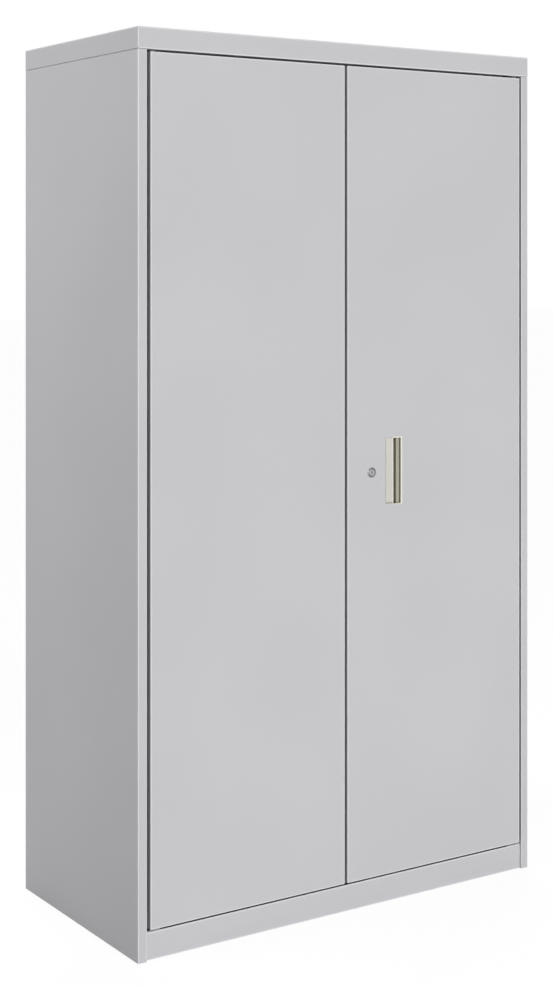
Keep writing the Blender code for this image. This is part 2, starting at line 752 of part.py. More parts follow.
def pull(door, place):
    # A frame on the skin, a flat lip over its left part, and a pocket that runs on behind the lip.
    left = PULL_X - PULL_WIDTH / 2
    right = PULL_X + PULL_WIDTH / 2
    low = DOOR_MIDDLE - PULL_HEIGHT / 2
    high = DOOR_MIDDLE + PULL_HEIGHT / 2
    face = FRONT - PULL_PROUD
    floor = face + PULL_DEPTH - PULL_WALL
    frame = block((left, face, low), (right, FRONT - FIT, high))
    front = [edge for edge in frame.edges if all(abs(vert.co.y - face) < FIT for vert in edge.verts)]
    bmesh.ops.bevel(frame, geom=front, offset=PULL_CORNER, offset_type="OFFSET", segments=BEND_STEPS,
                    profile=BEND_PROFILE_SHARE, affect="EDGES")
    made = add("door_pull", frame, CREAM, **place)
    rim = PULL_RIM - PULL_WALL
    join(made, "pull_cup", block((left + rim, (face + FRONT) / 2, low + rim),
                                 (right - rim, face + PULL_DEPTH, high - rim)))
    mouth = left + PULL_RIM + PULL_LIP
    cut(made, "pull_mouth", block((mouth, face - OVERRUN, low + PULL_RIM),
                                  (right - PULL_RIM, floor, high - PULL_RIM)))
    cut(made, "pull_pocket", block((left + PULL_RIM, face + PULL_LIP_THICK, low + PULL_RIM),
                                   (mouth + PULL_WALL, floor, high - PULL_RIM)))
    cut(door, "pull_hole", block((left + rim - FIT, FRONT - OVERRUN, low + rim - FIT),
                                 (right - rim + FIT, SKIN_BACK + OVERRUN, high - rim + FIT)))


def lock(door, place):
    centre = Vector((LOCK_X, FRONT, DOOR_MIDDLE))
    facing = (math.pi / 2, 0, 0)
    bore = LOCK_PLUG_R + FIT
    chamfer = FIT * 2
    profile = [(LOCK_FACE_R - chamfer, LOCK_PROUD), (LOCK_FACE_R, LOCK_PROUD - chamfer),
               (LOCK_FACE_R, FIT), (LOCK_BODY_R, FIT), (LOCK_BODY_R, -LOCK_BODY_END),
               (bore, -LOCK_BODY_END), (bore, LOCK_PROUD)]
    turned_profile("lock_barrel", profile, NICKEL, closed=True, origin=centre,
                   parent=place["parent"], turned=facing)
    cut(door, "lock_hole", cylinder(centre, LOCK_BODY_R + FIT, FRONT - OVERRUN, SKIN_BACK + OVERRUN, "y"))
    nut_front = SKIN_BACK + FIT
    nut_r = LOCK_NUT_ACROSS / 2 / math.cos(math.pi / LOCK_NUT_SIDES)
    hexagon = cylinder(centre, nut_r, nut_front, nut_front + LOCK_NUT_THICK, "y", steps=LOCK_NUT_SIDES)
    nut = add("lock_nut", hexagon, ZINC, origin=centre, parent=place["parent"])
    cut(nut, "nut_bore", cylinder(centre, LOCK_BODY_R + FIT, nut_front - OVERRUN,
                                  nut_front + LOCK_NUT_THICK + OVERRUN, "y"))
    axis = empty("axis_lock", centre - place["parent"].location)
    axis.parent = place["parent"]
    lock_works(centre, axis, place["parent"])


def lock_works(centre, axis, door_axis):
    # The plug, its square drive, and the cam with two pins opposite each other.
    held = {"origin": centre, "parent": door_axis}
    plug_back = FRONT + LOCK_BODY_END
    plug = add("lock_plug", cylinder(centre, LOCK_PLUG_R, FRONT - LOCK_PROUD + LOCK_PLUG_SINK,
                                     plug_back, "y"), NICKEL, **held)
    half = CAM_DRIVE / 2
    drive_end = CAM_FRONT + CAM_SHEET - FIT
    join(plug, "plug_drive", block((LOCK_X - half, plug_back - OVERRUN, DOOR_MIDDLE - half),
                                   (LOCK_X + half, drive_end, DOOR_MIDDLE + half)))
    cut(plug, "keyway", block((LOCK_X - KEYWAY_WIDTH / 2, FRONT - OVERRUN, DOOR_MIDDLE - KEYWAY_HEIGHT / 2),
                              (LOCK_X + KEYWAY_WIDTH / 2, FRONT + KEYWAY_DEPTH - LOCK_PROUD,
                               DOOR_MIDDLE + KEYWAY_HEIGHT / 2)))
    thread = cylinder(centre, CAM_SCREW_R + FIT, drive_end - CAM_SCREW_REACH - FIT,
                      drive_end + OVERRUN, "y", steps=SMALL_STEPS)
    cut(plug, "plug_thread", thread)
    cam = add("lock_cam", cylinder(centre, CAM_R, CAM_FRONT, CAM_FRONT + CAM_SHEET, "y"), ZINC, **held)
    hole = half + FIT
    cut(cam, "cam_square", block((LOCK_X - hole, CAM_FRONT - OVERRUN, DOOR_MIDDLE - hole),
                                 (LOCK_X + hole, CAM_FRONT + CAM_SHEET + OVERRUN, DOOR_MIDDLE + hole)))
    pins = [cylinder((LOCK_X + PIN_REST * way, 0, DOOR_MIDDLE - PIN_REST * way), CAM_PIN_R,
                     CAM_FRONT + CAM_SHEET / 2, BAR_BACK + FIT, "y", steps=SMALL_STEPS)
            for way in (1, -1)]
    join(cam, "cam_pins", merged(pins))
    head = CAM_FRONT + CAM_SHEET + FIT
    button = cylinder(centre, CAM_SCREW_HEAD_R, head, head + CAM_SCREW_HEAD, "y", steps=SMALL_STEPS)
    screw = add("cam_screw", button, ZINC, **held)
    join(screw, "screw_shank", cylinder(centre, CAM_SCREW_R, drive_end - CAM_SCREW_REACH,
                                        head + CAM_SCREW_HEAD / 2, "y", steps=SMALL_STEPS))
    for piece in (plug, cam, screw):
        hand_over(piece, door_axis, axis)


def hand_over(piece, old, new):
    # Moves a piece and its cutters from one axis to another that sits on the piece's own origin.
    tools = [step.object for step in piece.modifiers if step.type == "BOOLEAN"]
    for item in (piece, *tools):
        item.parent = new
        item.location = item.location - new.location


def lock_rods(door_axis):
    # Flat bars with an eye at the lock: the eye's slot lets its pin swing outwards as it lifts the bar.
    tips = {"upper": (1, DOOR_TOP - BAR_TIP_SPACE), "lower": (-1, DOOR_BOTTOM + BAR_TIP_SPACE)}
    for level, (way, tip) in tips.items():
        pin_z = DOOR_MIDDLE - PIN_REST * way
        eye = BAR_EYE_HEIGHT / 2
        shape = [(EYE_INNER, -eye), (EYE_OUTER, -eye), (EYE_OUTER, eye),
                 (EYE_INNER + BAR_WIDTH, eye + BAR_SHOULDER),
                 (EYE_INNER + BAR_WIDTH, abs(tip - pin_z) - BAR_TIP_CHAMFER),
                 (EYE_INNER + BAR_WIDTH - BAR_TIP_CHAMFER, abs(tip - pin_z)),
                 (EYE_INNER + BAR_TIP_CHAMFER, abs(tip - pin_z)),
                 (EYE_INNER, abs(tip - pin_z) - BAR_TIP_CHAMFER)]
        reach = CAM_PIN_R + CAM_PIN_SLACK
        slot = slot_loop(((PIN_REST + CAM_PIN_THROW) / 2, 0), (CAM_PIN_THROW - PIN_REST) / 2, reach)
        placed = [(LOCK_X + x * way, pin_z + z * way) for x, z in shape]
        opening = [(LOCK_X + x * way, pin_z + z * way) for x, z in slot]
        at = (LOCK_X + ROD_X * way, BAR_FRONT, pin_z)
        axis = empty("axis_rod_" + level, Vector(at) - door_axis.location)
        axis.parent = door_axis
        rod = outline("lock_rod_" + level, placed, "xz", BAR_FRONT, BAR_BACK, ZINC, holes=[opening],
                      origin=at)
        rod.parent = axis
        rod.location = (0, 0, 0)
        for number, share in enumerate(GUIDE_SHARES, start=1):
            z = pin_z + (tip - pin_z) * share
            guide("rod_guide_%s_%d" % (level, number), LOCK_X + ROD_X * way, z, door_axis)


def guide(name, x, z, door_axis):
    # A moulded block on the door skin, drafted, with a slot for the bar.
    near = SKIN_BACK + FIT
    far = BAR_BACK + GUIDE_BACK
    half = GUIDE_WIDTH / 2
    rise = GUIDE_HEIGHT / 2
    shape = block((x - half, near, z - rise), (x + half, far, z + rise))
    for vert in shape.verts:
        if vert.co.y > (near + far) / 2:
            vert.co.x += GUIDE_TAPER / 2 if vert.co.x < x else -GUIDE_TAPER / 2
    made = add(name, shape, BLACK, origin=(x, near, z), parent=door_axis)
    half_bar = BAR_WIDTH / 2 + SLIDE_FIT
    cut(made, name + "_slot", block((x - half_bar, BAR_FRONT - SLIDE_FIT, z - rise - OVERRUN),
                                    (x + half_bar, BAR_BACK + SLIDE_FIT, z + rise + OVERRUN)))


def slide_bolts(door_axis):
    # Flat bars with a finger tab bent up from the inner end.
    x = bar_places()["bolt"]
    tips = {"upper": (1, DOOR_TOP - BAR_TIP_SPACE), "lower": (-1, DOOR_BOTTOM + BAR_TIP_SPACE)}
    for level, (way, tip) in tips.items():
        end = tip - BOLT_LENGTH * way
        points = [(BAR_FRONT, tip), (BAR_FRONT, end), (BAR_FRONT + BOLT_TAB, end)]
        if way < 0:
            points = points[::-1]
        axis = empty("axis_bolt_" + level, Vector((x, BAR_FRONT, tip)) - door_axis.location)
        axis.parent = door_axis
        bolt = folded("slide_bolt_" + level, points, "yz", x - BAR_WIDTH / 2, x + BAR_WIDTH / 2, ZINC,
                      sheet=BAR_SHEET, origin=(x, BAR_FRONT, tip))
        bolt.parent = axis
        bolt.location = (0, 0, 0)
        guide("bolt_guide_" + level, x, tip - BOLT_GUIDE_Z * way, door_axis)


def catches():
    # A magnet in a case behind the header's stop, its face through the window.
    for side, x in catch_places().items():
        middle = DOOR_TOP - CATCH_Z_BELOW
        half = CATCH_LENGTH / 2
        rise = CATCH_HEIGHT / 2
        near = STOP_Y + SHEET + FIT
        case = add("catch_" + side, block((x - half, near, middle - rise),
                                          (x + half, near + CATCH_DEPTH, middle + rise)), BLACK)
        low, high = catch_window(x)
        join(case, "catch_nose_" + side,
             block((low[0] + FIT, DOOR_BACK + CATCH_AIR, low[1] + FIT),
                   (high[0] - FIT, near + CATCH_DEPTH / 2, high[1] - FIT)))


def smooth_round_pieces():
    for made in parts.objects:
        if made.type == "MESH":
            made.data.shade_smooth()
            made.data.set_sharp_from_angle(angle=math.radians(SMOOTH_ANGLE))


side_panels()
back_panel()
top_and_header()
base()
base_rails()
glides()
standards()
shelves()
pivot_plates()
hung = doors()
right_door, right_place = hung["right"]
pull(right_door, right_place)
lock(right_door, right_place)
lock_rods(right_place["parent"])
slide_bolts(hung["left"][1]["parent"])
catches()
smooth_round_pieces()
bpy.context.view_layer.update()
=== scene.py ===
# Looks of a steel storage cabinet: powder-coated sheet, zinc-plated fittings, a moulded pull, a key lock.
import json
import math

import bmesh
import bpy
import numpy as np
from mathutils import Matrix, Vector

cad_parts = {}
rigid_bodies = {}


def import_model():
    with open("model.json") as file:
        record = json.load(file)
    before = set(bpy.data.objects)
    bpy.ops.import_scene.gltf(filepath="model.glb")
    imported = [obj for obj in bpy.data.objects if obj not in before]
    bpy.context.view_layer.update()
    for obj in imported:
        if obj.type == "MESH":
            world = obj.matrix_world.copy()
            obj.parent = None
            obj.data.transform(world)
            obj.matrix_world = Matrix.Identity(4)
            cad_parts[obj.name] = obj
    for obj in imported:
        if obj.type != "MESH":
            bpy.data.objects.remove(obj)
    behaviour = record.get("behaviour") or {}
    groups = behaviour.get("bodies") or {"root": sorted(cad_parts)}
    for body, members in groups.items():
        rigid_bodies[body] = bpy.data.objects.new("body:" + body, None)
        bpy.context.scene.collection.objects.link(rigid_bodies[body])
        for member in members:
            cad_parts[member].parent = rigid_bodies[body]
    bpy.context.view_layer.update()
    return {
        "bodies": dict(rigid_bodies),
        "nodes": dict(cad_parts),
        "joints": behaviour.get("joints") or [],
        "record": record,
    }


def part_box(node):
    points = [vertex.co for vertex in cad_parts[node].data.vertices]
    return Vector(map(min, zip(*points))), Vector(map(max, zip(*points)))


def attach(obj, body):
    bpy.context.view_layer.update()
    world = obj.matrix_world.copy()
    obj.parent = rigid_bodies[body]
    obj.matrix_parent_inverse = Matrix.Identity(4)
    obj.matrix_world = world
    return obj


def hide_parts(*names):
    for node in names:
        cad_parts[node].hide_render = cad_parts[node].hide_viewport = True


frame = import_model()
nodes = frame["nodes"]
print("frame loaded:", len(nodes), "nodes")


# shared helpers

def toLinear(hexText):
    # sRGB hex to the linear colour that shader sockets take
    parts = [int(hexText[i:i + 2], 16) / 255 for i in (1, 3, 5)]
    return tuple(c / 12.92 if c <= 0.04045 else ((c + 0.055) / 1.055) ** 2.4 for c in parts) + (1,)


def addNode(tree, kind, settings=None, links=None):
    # one shader node: settings are attributes or input values, links are input name -> socket
    node = tree.nodes.new("ShaderNode" + kind)
    for key, value in (settings or {}).items():
        if isinstance(key, str) and hasattr(node, key):
            setattr(node, key, value)
        else:
            node.inputs[key].default_value = value
    for key, socket in (links or {}).items():
        tree.links.new(socket, node.inputs[key])
    return node


def startMaterial(name, settings):
    # a material with one Principled shader, and the object coordinates that its patterns read
    made = bpy.data.materials.new(name)
    made.use_nodes = True
    tree = made.node_tree
    tree.nodes.clear()
    shader = addNode(tree, "BsdfPrincipled", settings)
    addNode(tree, "OutputMaterial", None, {"Surface": shader.outputs[0]})
    coords = addNode(tree, "TexCoord").outputs["Object"]
    return made, tree, shader, coords


def noiseAt(tree, coords, sizeMm, detail=2.0, stretch=(1, 1, 1)):
    # noise whose features are sizeMm across; stretch lengthens them along an axis
    scaled = addNode(tree, "Mapping", {"Scale": [1000 / sizeMm / s for s in stretch]}, {"Vector": coords})
    return addNode(tree, "TexNoise", {"Scale": 1.0, "Detail": detail, "Roughness": 0.55},
                   {"Vector": scaled.outputs[0]}).outputs["Fac"]


def spread(tree, value, low, high):
    # maps noise, which lies mostly between 0.3 and 0.7, to a range
    return addNode(tree, "MapRange", {1: 0.3, 2: 0.7, 3: low, 4: high}, {0: value}).outputs[0]


def tint(tree, value, first, second):
    # a colour between two hex colours, by a value from 0 to 1
    return addNode(tree, "Mix", {"data_type": "RGBA", 6: toLinear(first), 7: toLinear(second)},
                   {0: value}).outputs[2]


def relief(tree, shader, height, depthMm, strength=0.5):
    # bump from a height of 0 to 1 that stands for depthMm
    bump = addNode(tree, "Bump", {"Strength": strength, "Distance": depthMm / 1000}, {"Height": height})
    tree.links.new(bump.outputs[0], shader.inputs["Normal"])


# finishes

# bend is the colour of the painted highlight on the bends
coatLook = {"colour": "#c9c9cc", "shade": "#c6c6c9", "bend": "#e6e6e9", "roughness": (0.46, 0.54),
            "specular": 0.4, "peelMm": 3.2, "peelDepthMm": 0.03, "peelShown": 0.6, "grainMm": 0.7,
            "grainShare": 0.35, "panMm": 240.0}


def powderCoat(name, look):
    # Polyester powder coat baked on steel: satin, with a fine orange peel and next to no colour change.
    # Its bends and the narrow strips beside them are painted lighter, a painted highlight.
    made, tree, shader, coords = startMaterial(name, {"IOR": 1.5, "Specular IOR Level": look["specular"]})
    peel = noiseAt(tree, coords, look["peelMm"], 1.0)
    grain = noiseAt(tree, coords, look["grainMm"], 2.0)
    pan = noiseAt(tree, coords, look["panMm"], 0.0)      # the slow unevenness of a flat panel
    bend = addNode(tree, "Attribute", {"attribute_name": "bend"}).outputs["Fac"]
    flat = tint(tree, spread(tree, pan, 0, 1), look["colour"], look["shade"])
    # painted highlight: the bend attribute mixes the paler bend colour in
    thin = addNode(tree, "Mix", {"data_type": "RGBA", 7: toLinear(look["bend"])}, {0: bend, 6: flat})
    tree.links.new(thin.outputs[2], shader.inputs["Base Color"])
    tree.links.new(spread(tree, grain, *look["roughness"]), shader.inputs["Roughness"])
    both = addNode(tree, "Math", {"operation": "MULTIPLY_ADD", 1: look["grainShare"]},
                   {0: grain, 2: peel}).outputs[0]
    relief(tree, shader, both, look["peelDepthMm"], look["peelShown"])
    return made


zincLook = {"colour": "#b9bab8", "shade": "#a2a4a4", "roughness": (0.26, 0.42), "cloudMm": 14.0,
            "rollMm": 0.5, "rollLength": 60, "rollDeepMm": 0.004}


def zincPlate(name, look, along=2):
    # Bright zinc on rolled steel: soft grey clouds, and faint roll marks along the strip.
    made, tree, shader, coords = startMaterial(name, {"Metallic": 1.0})
    stretch = [1, 1, 1]
    stretch[along] = look["rollLength"]
    cloud = noiseAt(tree, coords, look["cloudMm"], 3.0)
    roll = noiseAt(tree, coords, look["rollMm"], 1.0, stretch)
    tree.links.new(tint(tree, spread(tree, cloud, 0, 1), look["colour"], look["shade"]),
                   shader.inputs["Base Color"])
    tree.links.new(spread(tree, roll, *look["roughness"]), shader.inputs["Roughness"])
    relief(tree, shader, roll, look["rollDeepMm"])
    return made


nickelLook = {"colour": "#98989a", "shade": "#868688", "roughness": (0.26, 0.38), "polishMm": 0.9,
              "polishDeepMm": 0.006}
# a lighter copy of the satin nickel for the plug: painted light, the plug brighter than the barrel's ring
plugLitLook = {**nickelLook, "colour": "#b6b6b8", "shade": "#a8a8aa"}


def nickelPlate(name, look):
    # Satin nickel on a zinc die casting: warm grey, softly polished.
    made, tree, shader, coords = startMaterial(name, {"Metallic": 1.0})
    polish = noiseAt(tree, coords, look["polishMm"], 3.0)
    tree.links.new(tint(tree, spread(tree, polish, 0, 1), look["colour"], look["shade"]),
                   shader.inputs["Base Color"])
    tree.links.new(spread(tree, polish, *look["roughness"]), shader.inputs["Roughness"])
    relief(tree, shader, polish, look["polishDeepMm"])
    return made


mouldLook = {"ior": 1.49, "flowGrains": 40, "roughSpread": (-0.04, 0.05)}


def moulded(name, colour, shade, roughness, grainMm, depthMm, highlightColour=None):
    # Injection-moulded plastic: even colour and a spark-eroded grain. The faces marked by the bend attribute
    # are painted paler, a painted highlight.
    made, tree, shader, coords = startMaterial(name, {"IOR": mouldLook["ior"]})
    grain = noiseAt(tree, coords, grainMm, 2.0)
    flow = noiseAt(tree, coords, mouldLook["flowGrains"] * grainMm, 1.0)     # drift from the melt's flow
    body = tint(tree, spread(tree, flow, 0, 1), colour, shade)
    paintedHighlight = addNode(tree, "Attribute", {"attribute_name": "bend"}).outputs["Fac"]
    edge = addNode(tree, "Mix", {"data_type": "RGBA", 7: toLinear(highlightColour or colour)}, {0: paintedHighlight, 6: body})
    tree.links.new(edge.outputs[2], shader.inputs["Base Color"])
    rough = [roughness + step for step in mouldLook["roughSpread"]]
    tree.links.new(spread(tree, grain, *rough), shader.inputs["Roughness"])
    relief(tree, shader, grain, depthMm)
    return made


coat = powderCoat("powder coat light grey", coatLook)
zinc = zincPlate("zinc plate upright", zincLook, 2)
zincDeep = zincPlate("zinc plate front to back", zincLook, 1)
nickel = nickelPlate("nickel plate satin", nickelLook)
nickelPaintedLit = nickelPlate("nickel plate painted lighter", plugLitLook)
# plastics: colour, its drift, roughness, grain and grain depth in mm, and the colour of the painted
# highlight
pullPlastic = moulded("abs pull warm white", "#d3d0c9", "#d0cdc5", 0.42, 0.8, 0.01, "#eeebe1")
# a darker copy of the pull's plastic: painted shade for the inside of the pocket and under the plate
pocketShadePlastic = moulded("abs pull painted shade", "#aca897", "#a8a493", 0.48, 0.8, 0.01)
blackNylon = moulded("nylon black", "#1c1c1d", "#222223", 0.5, 0.6, 0.012)
# the pivots' white bushes are painted dark grey, a painted shade, so none shines out of a gap
bushNylonShaded = moulded("nylon painted dark", "#77746e", "#6f6c66", 0.5, 0.6, 0.008)
print("finishes ready")


# shapes as surfaces of two parameters

sharpFrom = 32          # degrees between two faces from which their edge stays crisp
sheetLook = {"bend": 0.0018, "edge": 0.00018, "support": 0.0004}


def surface(name, rows, closeRows=False, closeColumns=True, caps=True):
    # a grid of points, rows by columns, made into a mesh; open ends are closed flat
    count, width = rows.shape[:2]
    i = np.arange(count if closeRows else count - 1)[:, None]
    j = np.arange(width if closeColumns else width - 1)[None, :]
    nextI, nextJ = (i + 1) % count, (j + 1) % width
    quads = np.stack([i * width + j, i * width + nextJ, nextI * width + nextJ, nextI * width + j], -1)
    quads = quads.reshape(-1, 4).astype(np.int32)
    mesh = bpy.data.meshes.new(name)
    mesh.vertices.add(count * width)
    mesh.vertices.foreach_set("co", rows.reshape(-1).astype(np.float32))
    mesh.loops.add(quads.size)
    mesh.loops.foreach_set("vertex_index", quads.reshape(-1))
    mesh.polygons.add(len(quads))
    mesh.polygons.foreach_set("loop_start", np.arange(0, quads.size, 4, dtype=np.int32))
    mesh.update(calc_edges=True)
    tidyMesh(mesh, caps and not closeRows)
    piece = bpy.data.objects.new(name, mesh)
    bpy.context.scene.collection.objects.link(piece)
    return piece


def crisp(mesh):
    # smooth faces, real edges kept
    mesh.shade_smooth()
    mesh.set_sharp_from_angle(angle=math.radians(sharpFrom))


def tidyMesh(mesh, caps, doubles=2e-6, slivers=1e-6):
    # doubles merged, ends capped, faces turned outwards
    grid = bmesh.new()
    grid.from_mesh(mesh)
    bmesh.ops.remove_doubles(grid, verts=grid.verts, dist=doubles)
    bmesh.ops.dissolve_degenerate(grid, edges=grid.edges, dist=slivers)
    if caps:
        bmesh.ops.holes_fill(grid, edges=[e for e in grid.edges if e.is_boundary])
    bmesh.ops.recalc_face_normals(grid, faces=grid.faces)
    grid.to_mesh(mesh)
    grid.free()
    crisp(mesh)


def together(name, pieces):
    # several separate closed pieces kept as one object
    grid = bmesh.new()
    for piece in pieces:
        grid.from_mesh(piece.data)
        bpy.data.objects.remove(piece)
    mesh = bpy.data.meshes.new(name)
    grid.to_mesh(mesh)
    grid.free()
    crisp(mesh)
    piece = bpy.data.objects.new(name, mesh)
    bpy.context.scene.collection.objects.link(piece)
    return piece


def carve(piece, tools, operation="DIFFERENCE"):
    # cuts the tools out of the piece, or adds them to it, and leaves plain mesh
    tool = together(piece.name + " tool", tools)
    step = piece.modifiers.new("holes", "BOOLEAN")
    step.operation = operation
    step.solver = "EXACT"
    step.object = tool
    graph = bpy.context.evaluated_depsgraph_get()
    mesh = bpy.data.meshes.new_from_object(piece.evaluated_get(graph))
    piece.modifiers.clear()
    piece.data = mesh
    bpy.data.objects.remove(tool)
    crisp(mesh)


def faceData(mesh, kind):
    # the centre or the normal of every face
    values = np.zeros(len(mesh.polygons) * 3)
    mesh.polygons.foreach_get(kind, values)
    return values.reshape(-1, 3)


def markBendHighlights(mesh, beside=0.6, narrow=0.0025, fullFrom=0.03, least=0.01):
    # The painted highlight's share: 1 on a bend's faces and 0 on flat ones: all the flats of this cabinet's
    # sheets face along an axis.
    # The narrow flat strips beside a bend get a part of it.
    straight = np.abs(faceData(mesh, "normal")).max(axis=1)
    values = np.clip((1 - straight) / fullFrom, 0, 1)
    curved = values > least
    grid = bmesh.new()
    grid.from_mesh(mesh)
    for face in grid.faces:
        thin = face.calc_area() < narrow * max(e.calc_length() for e in face.edges)
        nextTo = any(curved[f.index] for e in face.edges for f in e.link_faces)
        if thin and nextTo and not curved[face.index]:
            values[face.index] = beside
    grid.free()
    bend = mesh.attributes.new("bend", "FLOAT", "FACE")
    bend.data.foreach_set("value", values)


def dress(piece, body, material, slotName, *replaced):
    # gives a piece its finish, its body and the CAD nodes it stands for; slotName is not used
    piece.data.materials.clear()
    piece.data.materials.append(material)
    if material in (coat, pullPlastic):
        markBendHighlights(piece.data)
    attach(piece, body)
    if replaced:
        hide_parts(*replaced)
    return piece


def quarter(centre, radius, start, end, steps):
    # points of an arc about a centre, angles in degrees
    t = np.radians(np.linspace(start, end, steps + 1))
    return np.stack([centre[0] + radius * np.cos(t), centre[1] + radius * np.sin(t)], -1)


def foldPath(corners, bend, sheet, support, steps=6):
    # The path of a folded sheet's outer face and its normal, which points into the metal on the left.
    # Each corner is an arc; where the metal lies outside the turn the arc is a sheet smaller.
    points, normals = [corners[0]], []
    heading = [np.subtract(b, a) / np.linalg.norm(np.subtract(b, a)) for a, b in zip(corners, corners[1:])]
    left = [np.array([-h[1], h[0]]) for h in heading]
    normals.append(left[0])
    for k in range(1, len(corners) - 1):
        before, after = heading[k - 1], heading[k]
        turn = before[0] * after[1] - before[1] * after[0]
        radius = bend if turn > 0 else bend - sheet
        angle = math.acos(np.clip(before @ after, -1, 1))
        run = radius * math.tan(angle / 2)
        side = 1 if turn > 0 else -1
        start = np.array(corners[k]) - before * run
        centre = start + left[k - 1] * radius * side
        t = np.linspace(0, angle, steps + 1)[:, None]
        arcNormal = left[k - 1] * np.cos(t) - before * np.sin(t) * side
        arc = centre - arcNormal * radius * side
        points += [start - before * support, *arc, arc[-1] + after * support]
        normals += [left[k - 1], *arcNormal, left[k]]
    points.append(corners[-1])
    normals.append(left[-1])
    return np.array(points, float), np.array(normals, float)


def foldedSheet(name, corners, low, high, plane, sheet, bend=sheetLook["bend"],
                support=sheetLook["support"]):
    # A thin rounded rectangle, sheet by length, carried along the fold path.
    edge = sheetLook["edge"]
    path, normal = foldPath(corners, bend, sheet, support)
    t = np.concatenate([quarter((sheet - edge, high - edge), edge, 0, 90, 2),
                        quarter((edge, high - edge), edge, 90, 180, 2),
                        quarter((edge, low + edge), edge, 180, 270, 2),
                        quarter((sheet - edge, low + edge), edge, 270, 360, 2)])
    flat = path[:, None, :] + normal[:, None, :] * t[None, :, :1]
    rows = np.zeros((*flat.shape[:2], 3))
    axes = ["xyz".index(c) for c in plane]
    rows[..., axes[0]], rows[..., axes[1]] = flat[..., 0], flat[..., 1]
    rows[..., 3 - sum(axes)] = t[None, :, 1]
    return surface(name, rows)


def ringOf(halfU, halfV, radius, inset, steps=6, support=0.0005):
    # a rounded rectangle drawn in by inset; its corner radius shrinks with it
    a, b, r = halfU - inset, halfV - inset, max(radius - inset, 0.0)
    parts = []
    for k, (su, sv) in enumerate(((1, 1), (-1, 1), (-1, -1), (1, -1))):
        corner = quarter((su * (a - r), sv * (b - r)), r, 90 * k, 90 * k + 90, steps)
        turn = np.radians(90 * k)
        first = corner[0] + support * np.array([math.sin(turn), -math.cos(turn)])
        last = corner[-1] + support * np.array([-math.cos(turn), -math.sin(turn)])
        parts += [first[None], corner, last[None]]
    return np.concatenate(parts)


def stacked(name, centre, halves, radius, profile, plane, facing=1, caps=True):
    # Rounded rectangles stacked by depth: profile is (inset, depth) from the face inwards.
    axes = ["xyz".index(c) for c in plane]
    rings = [ringOf(*halves, radius, inset) for inset, depth in profile]
    rows = np.zeros((len(profile), len(rings[0]), 3))
    for k, (inset, depth) in enumerate(profile):
        rows[k, :, axes[0]] = rings[k][:, 0] + centre[axes[0]]
        rows[k, :, axes[1]] = rings[k][:, 1] + centre[axes[1]]
        rows[k, :, 3 - sum(axes)] = centre[3 - sum(axes)] + facing * depth
    return surface(name, rows, caps=caps)


def roundedBlock(name, low, high, plane, radius, edge):
    # a block whose outline has round corners and whose two faces have softened edges
    low, high = np.array(low, float), np.array(high, float)
    axes = ["xyz".index(c) for c in plane]
    deep = 3 - sum(axes)
    depth = high[deep] - low[deep]
    near = quarter((edge, edge), edge, 270, 180, 3)
    far = quarter((edge, depth - edge), edge, 180, 90, 3)
    centre = (low + high) / 2
    centre[deep] = low[deep]
    half = (high - low) / 2
    return stacked(name, centre, (half[axes[0]], half[axes[1]]), radius, np.concatenate([near, far]), plane)


def trayProfile(depth, bend, sheet, lip, support, steps=6):
    # From the face's edge round the wall to the lip, over its cut edge, and back along the inside.
    edge = sheetLook["edge"]
    outer = [[bend + support, 0], *quarter((bend, bend), bend, 270, 180, steps), [0, bend + support],
             [0, depth - bend - support], *quarter((bend, depth - bend), bend, 180, 90, steps),
             [bend + support, depth]]
    end = [*quarter((lip - edge, depth - edge), edge, 90, 0, 2),
           *quarter((lip - edge, depth - sheet + edge), edge, 0, -90, 2)]
    small = bend - sheet
    inner = [[bend + support, depth - sheet], *quarter((bend, depth - bend), small, 90, 180, steps),
             [sheet, depth - bend - support], [sheet, bend + support],
             *quarter((bend, bend), small, 180, 270, steps), [bend + support, sheet]]
    return np.array([*outer, *end, *inner])


def tray(name, low, high, plane, facing, sheet, lip, bend=sheetLook["bend"], support=sheetLook["support"]):
    # A folded sheet tray: its face is at low along the third axis, or at high where facing is -1.
    low, high = np.array(low, float), np.array(high, float)
    axes = ["xyz".index(c) for c in plane]
    deep = 3 - sum(axes)
    centre, half = (low + high) / 2, (high - low) / 2
    centre[deep] = low[deep] if facing > 0 else high[deep]
    profile = trayProfile(high[deep] - low[deep], bend, sheet, lip, support)
    return stacked(name, centre, (half[axes[0]], half[axes[1]]), bend, profile, plane, facing)


def turned(name, profile, centre, axis="y", steps=64, way=1, closed=False):
    # A profile of (radius, height) turned about an axis through the centre.
    profile = np.array(profile, float)
    t = np.linspace(0, 2 * np.pi, steps, endpoint=False)
    along = "xyz".index(axis)
    across = [k for k in range(3) if k != along]
    rows = np.zeros((len(profile), steps, 3))
    rows[..., across[0]] = centre[across[0]] + profile[:, :1] * np.cos(t)[None]
    rows[..., across[1]] = centre[across[1]] + profile[:, :1] * np.sin(t)[None]
    rows[..., along] = centre[along] + way * profile[:, 1:]
    return surface(name, rows, closeRows=closed)


# carcass

carcassLook = {"sheet": 0.0009, "tightBend": 0.0012, "highlightStrip": 0.0014, "stileReturn": 0.022,
               "rearFlange": 0.018, "capLip": 0.006, "ledgeEnd": 0.0265, "rearDrop": 0.030,
               "kickReturn": 0.014, "shelfLip": 0.012, "bar": 0.0015, "keeperHalf": 0.005,
               "keeperFit": 0.001, "fit": 0.0003, "over": 0.003, "seam": 0.0004, "seamStrip": 0.004,
               "stileWiden": {"left": 0.0005, "right": -0.0006}}


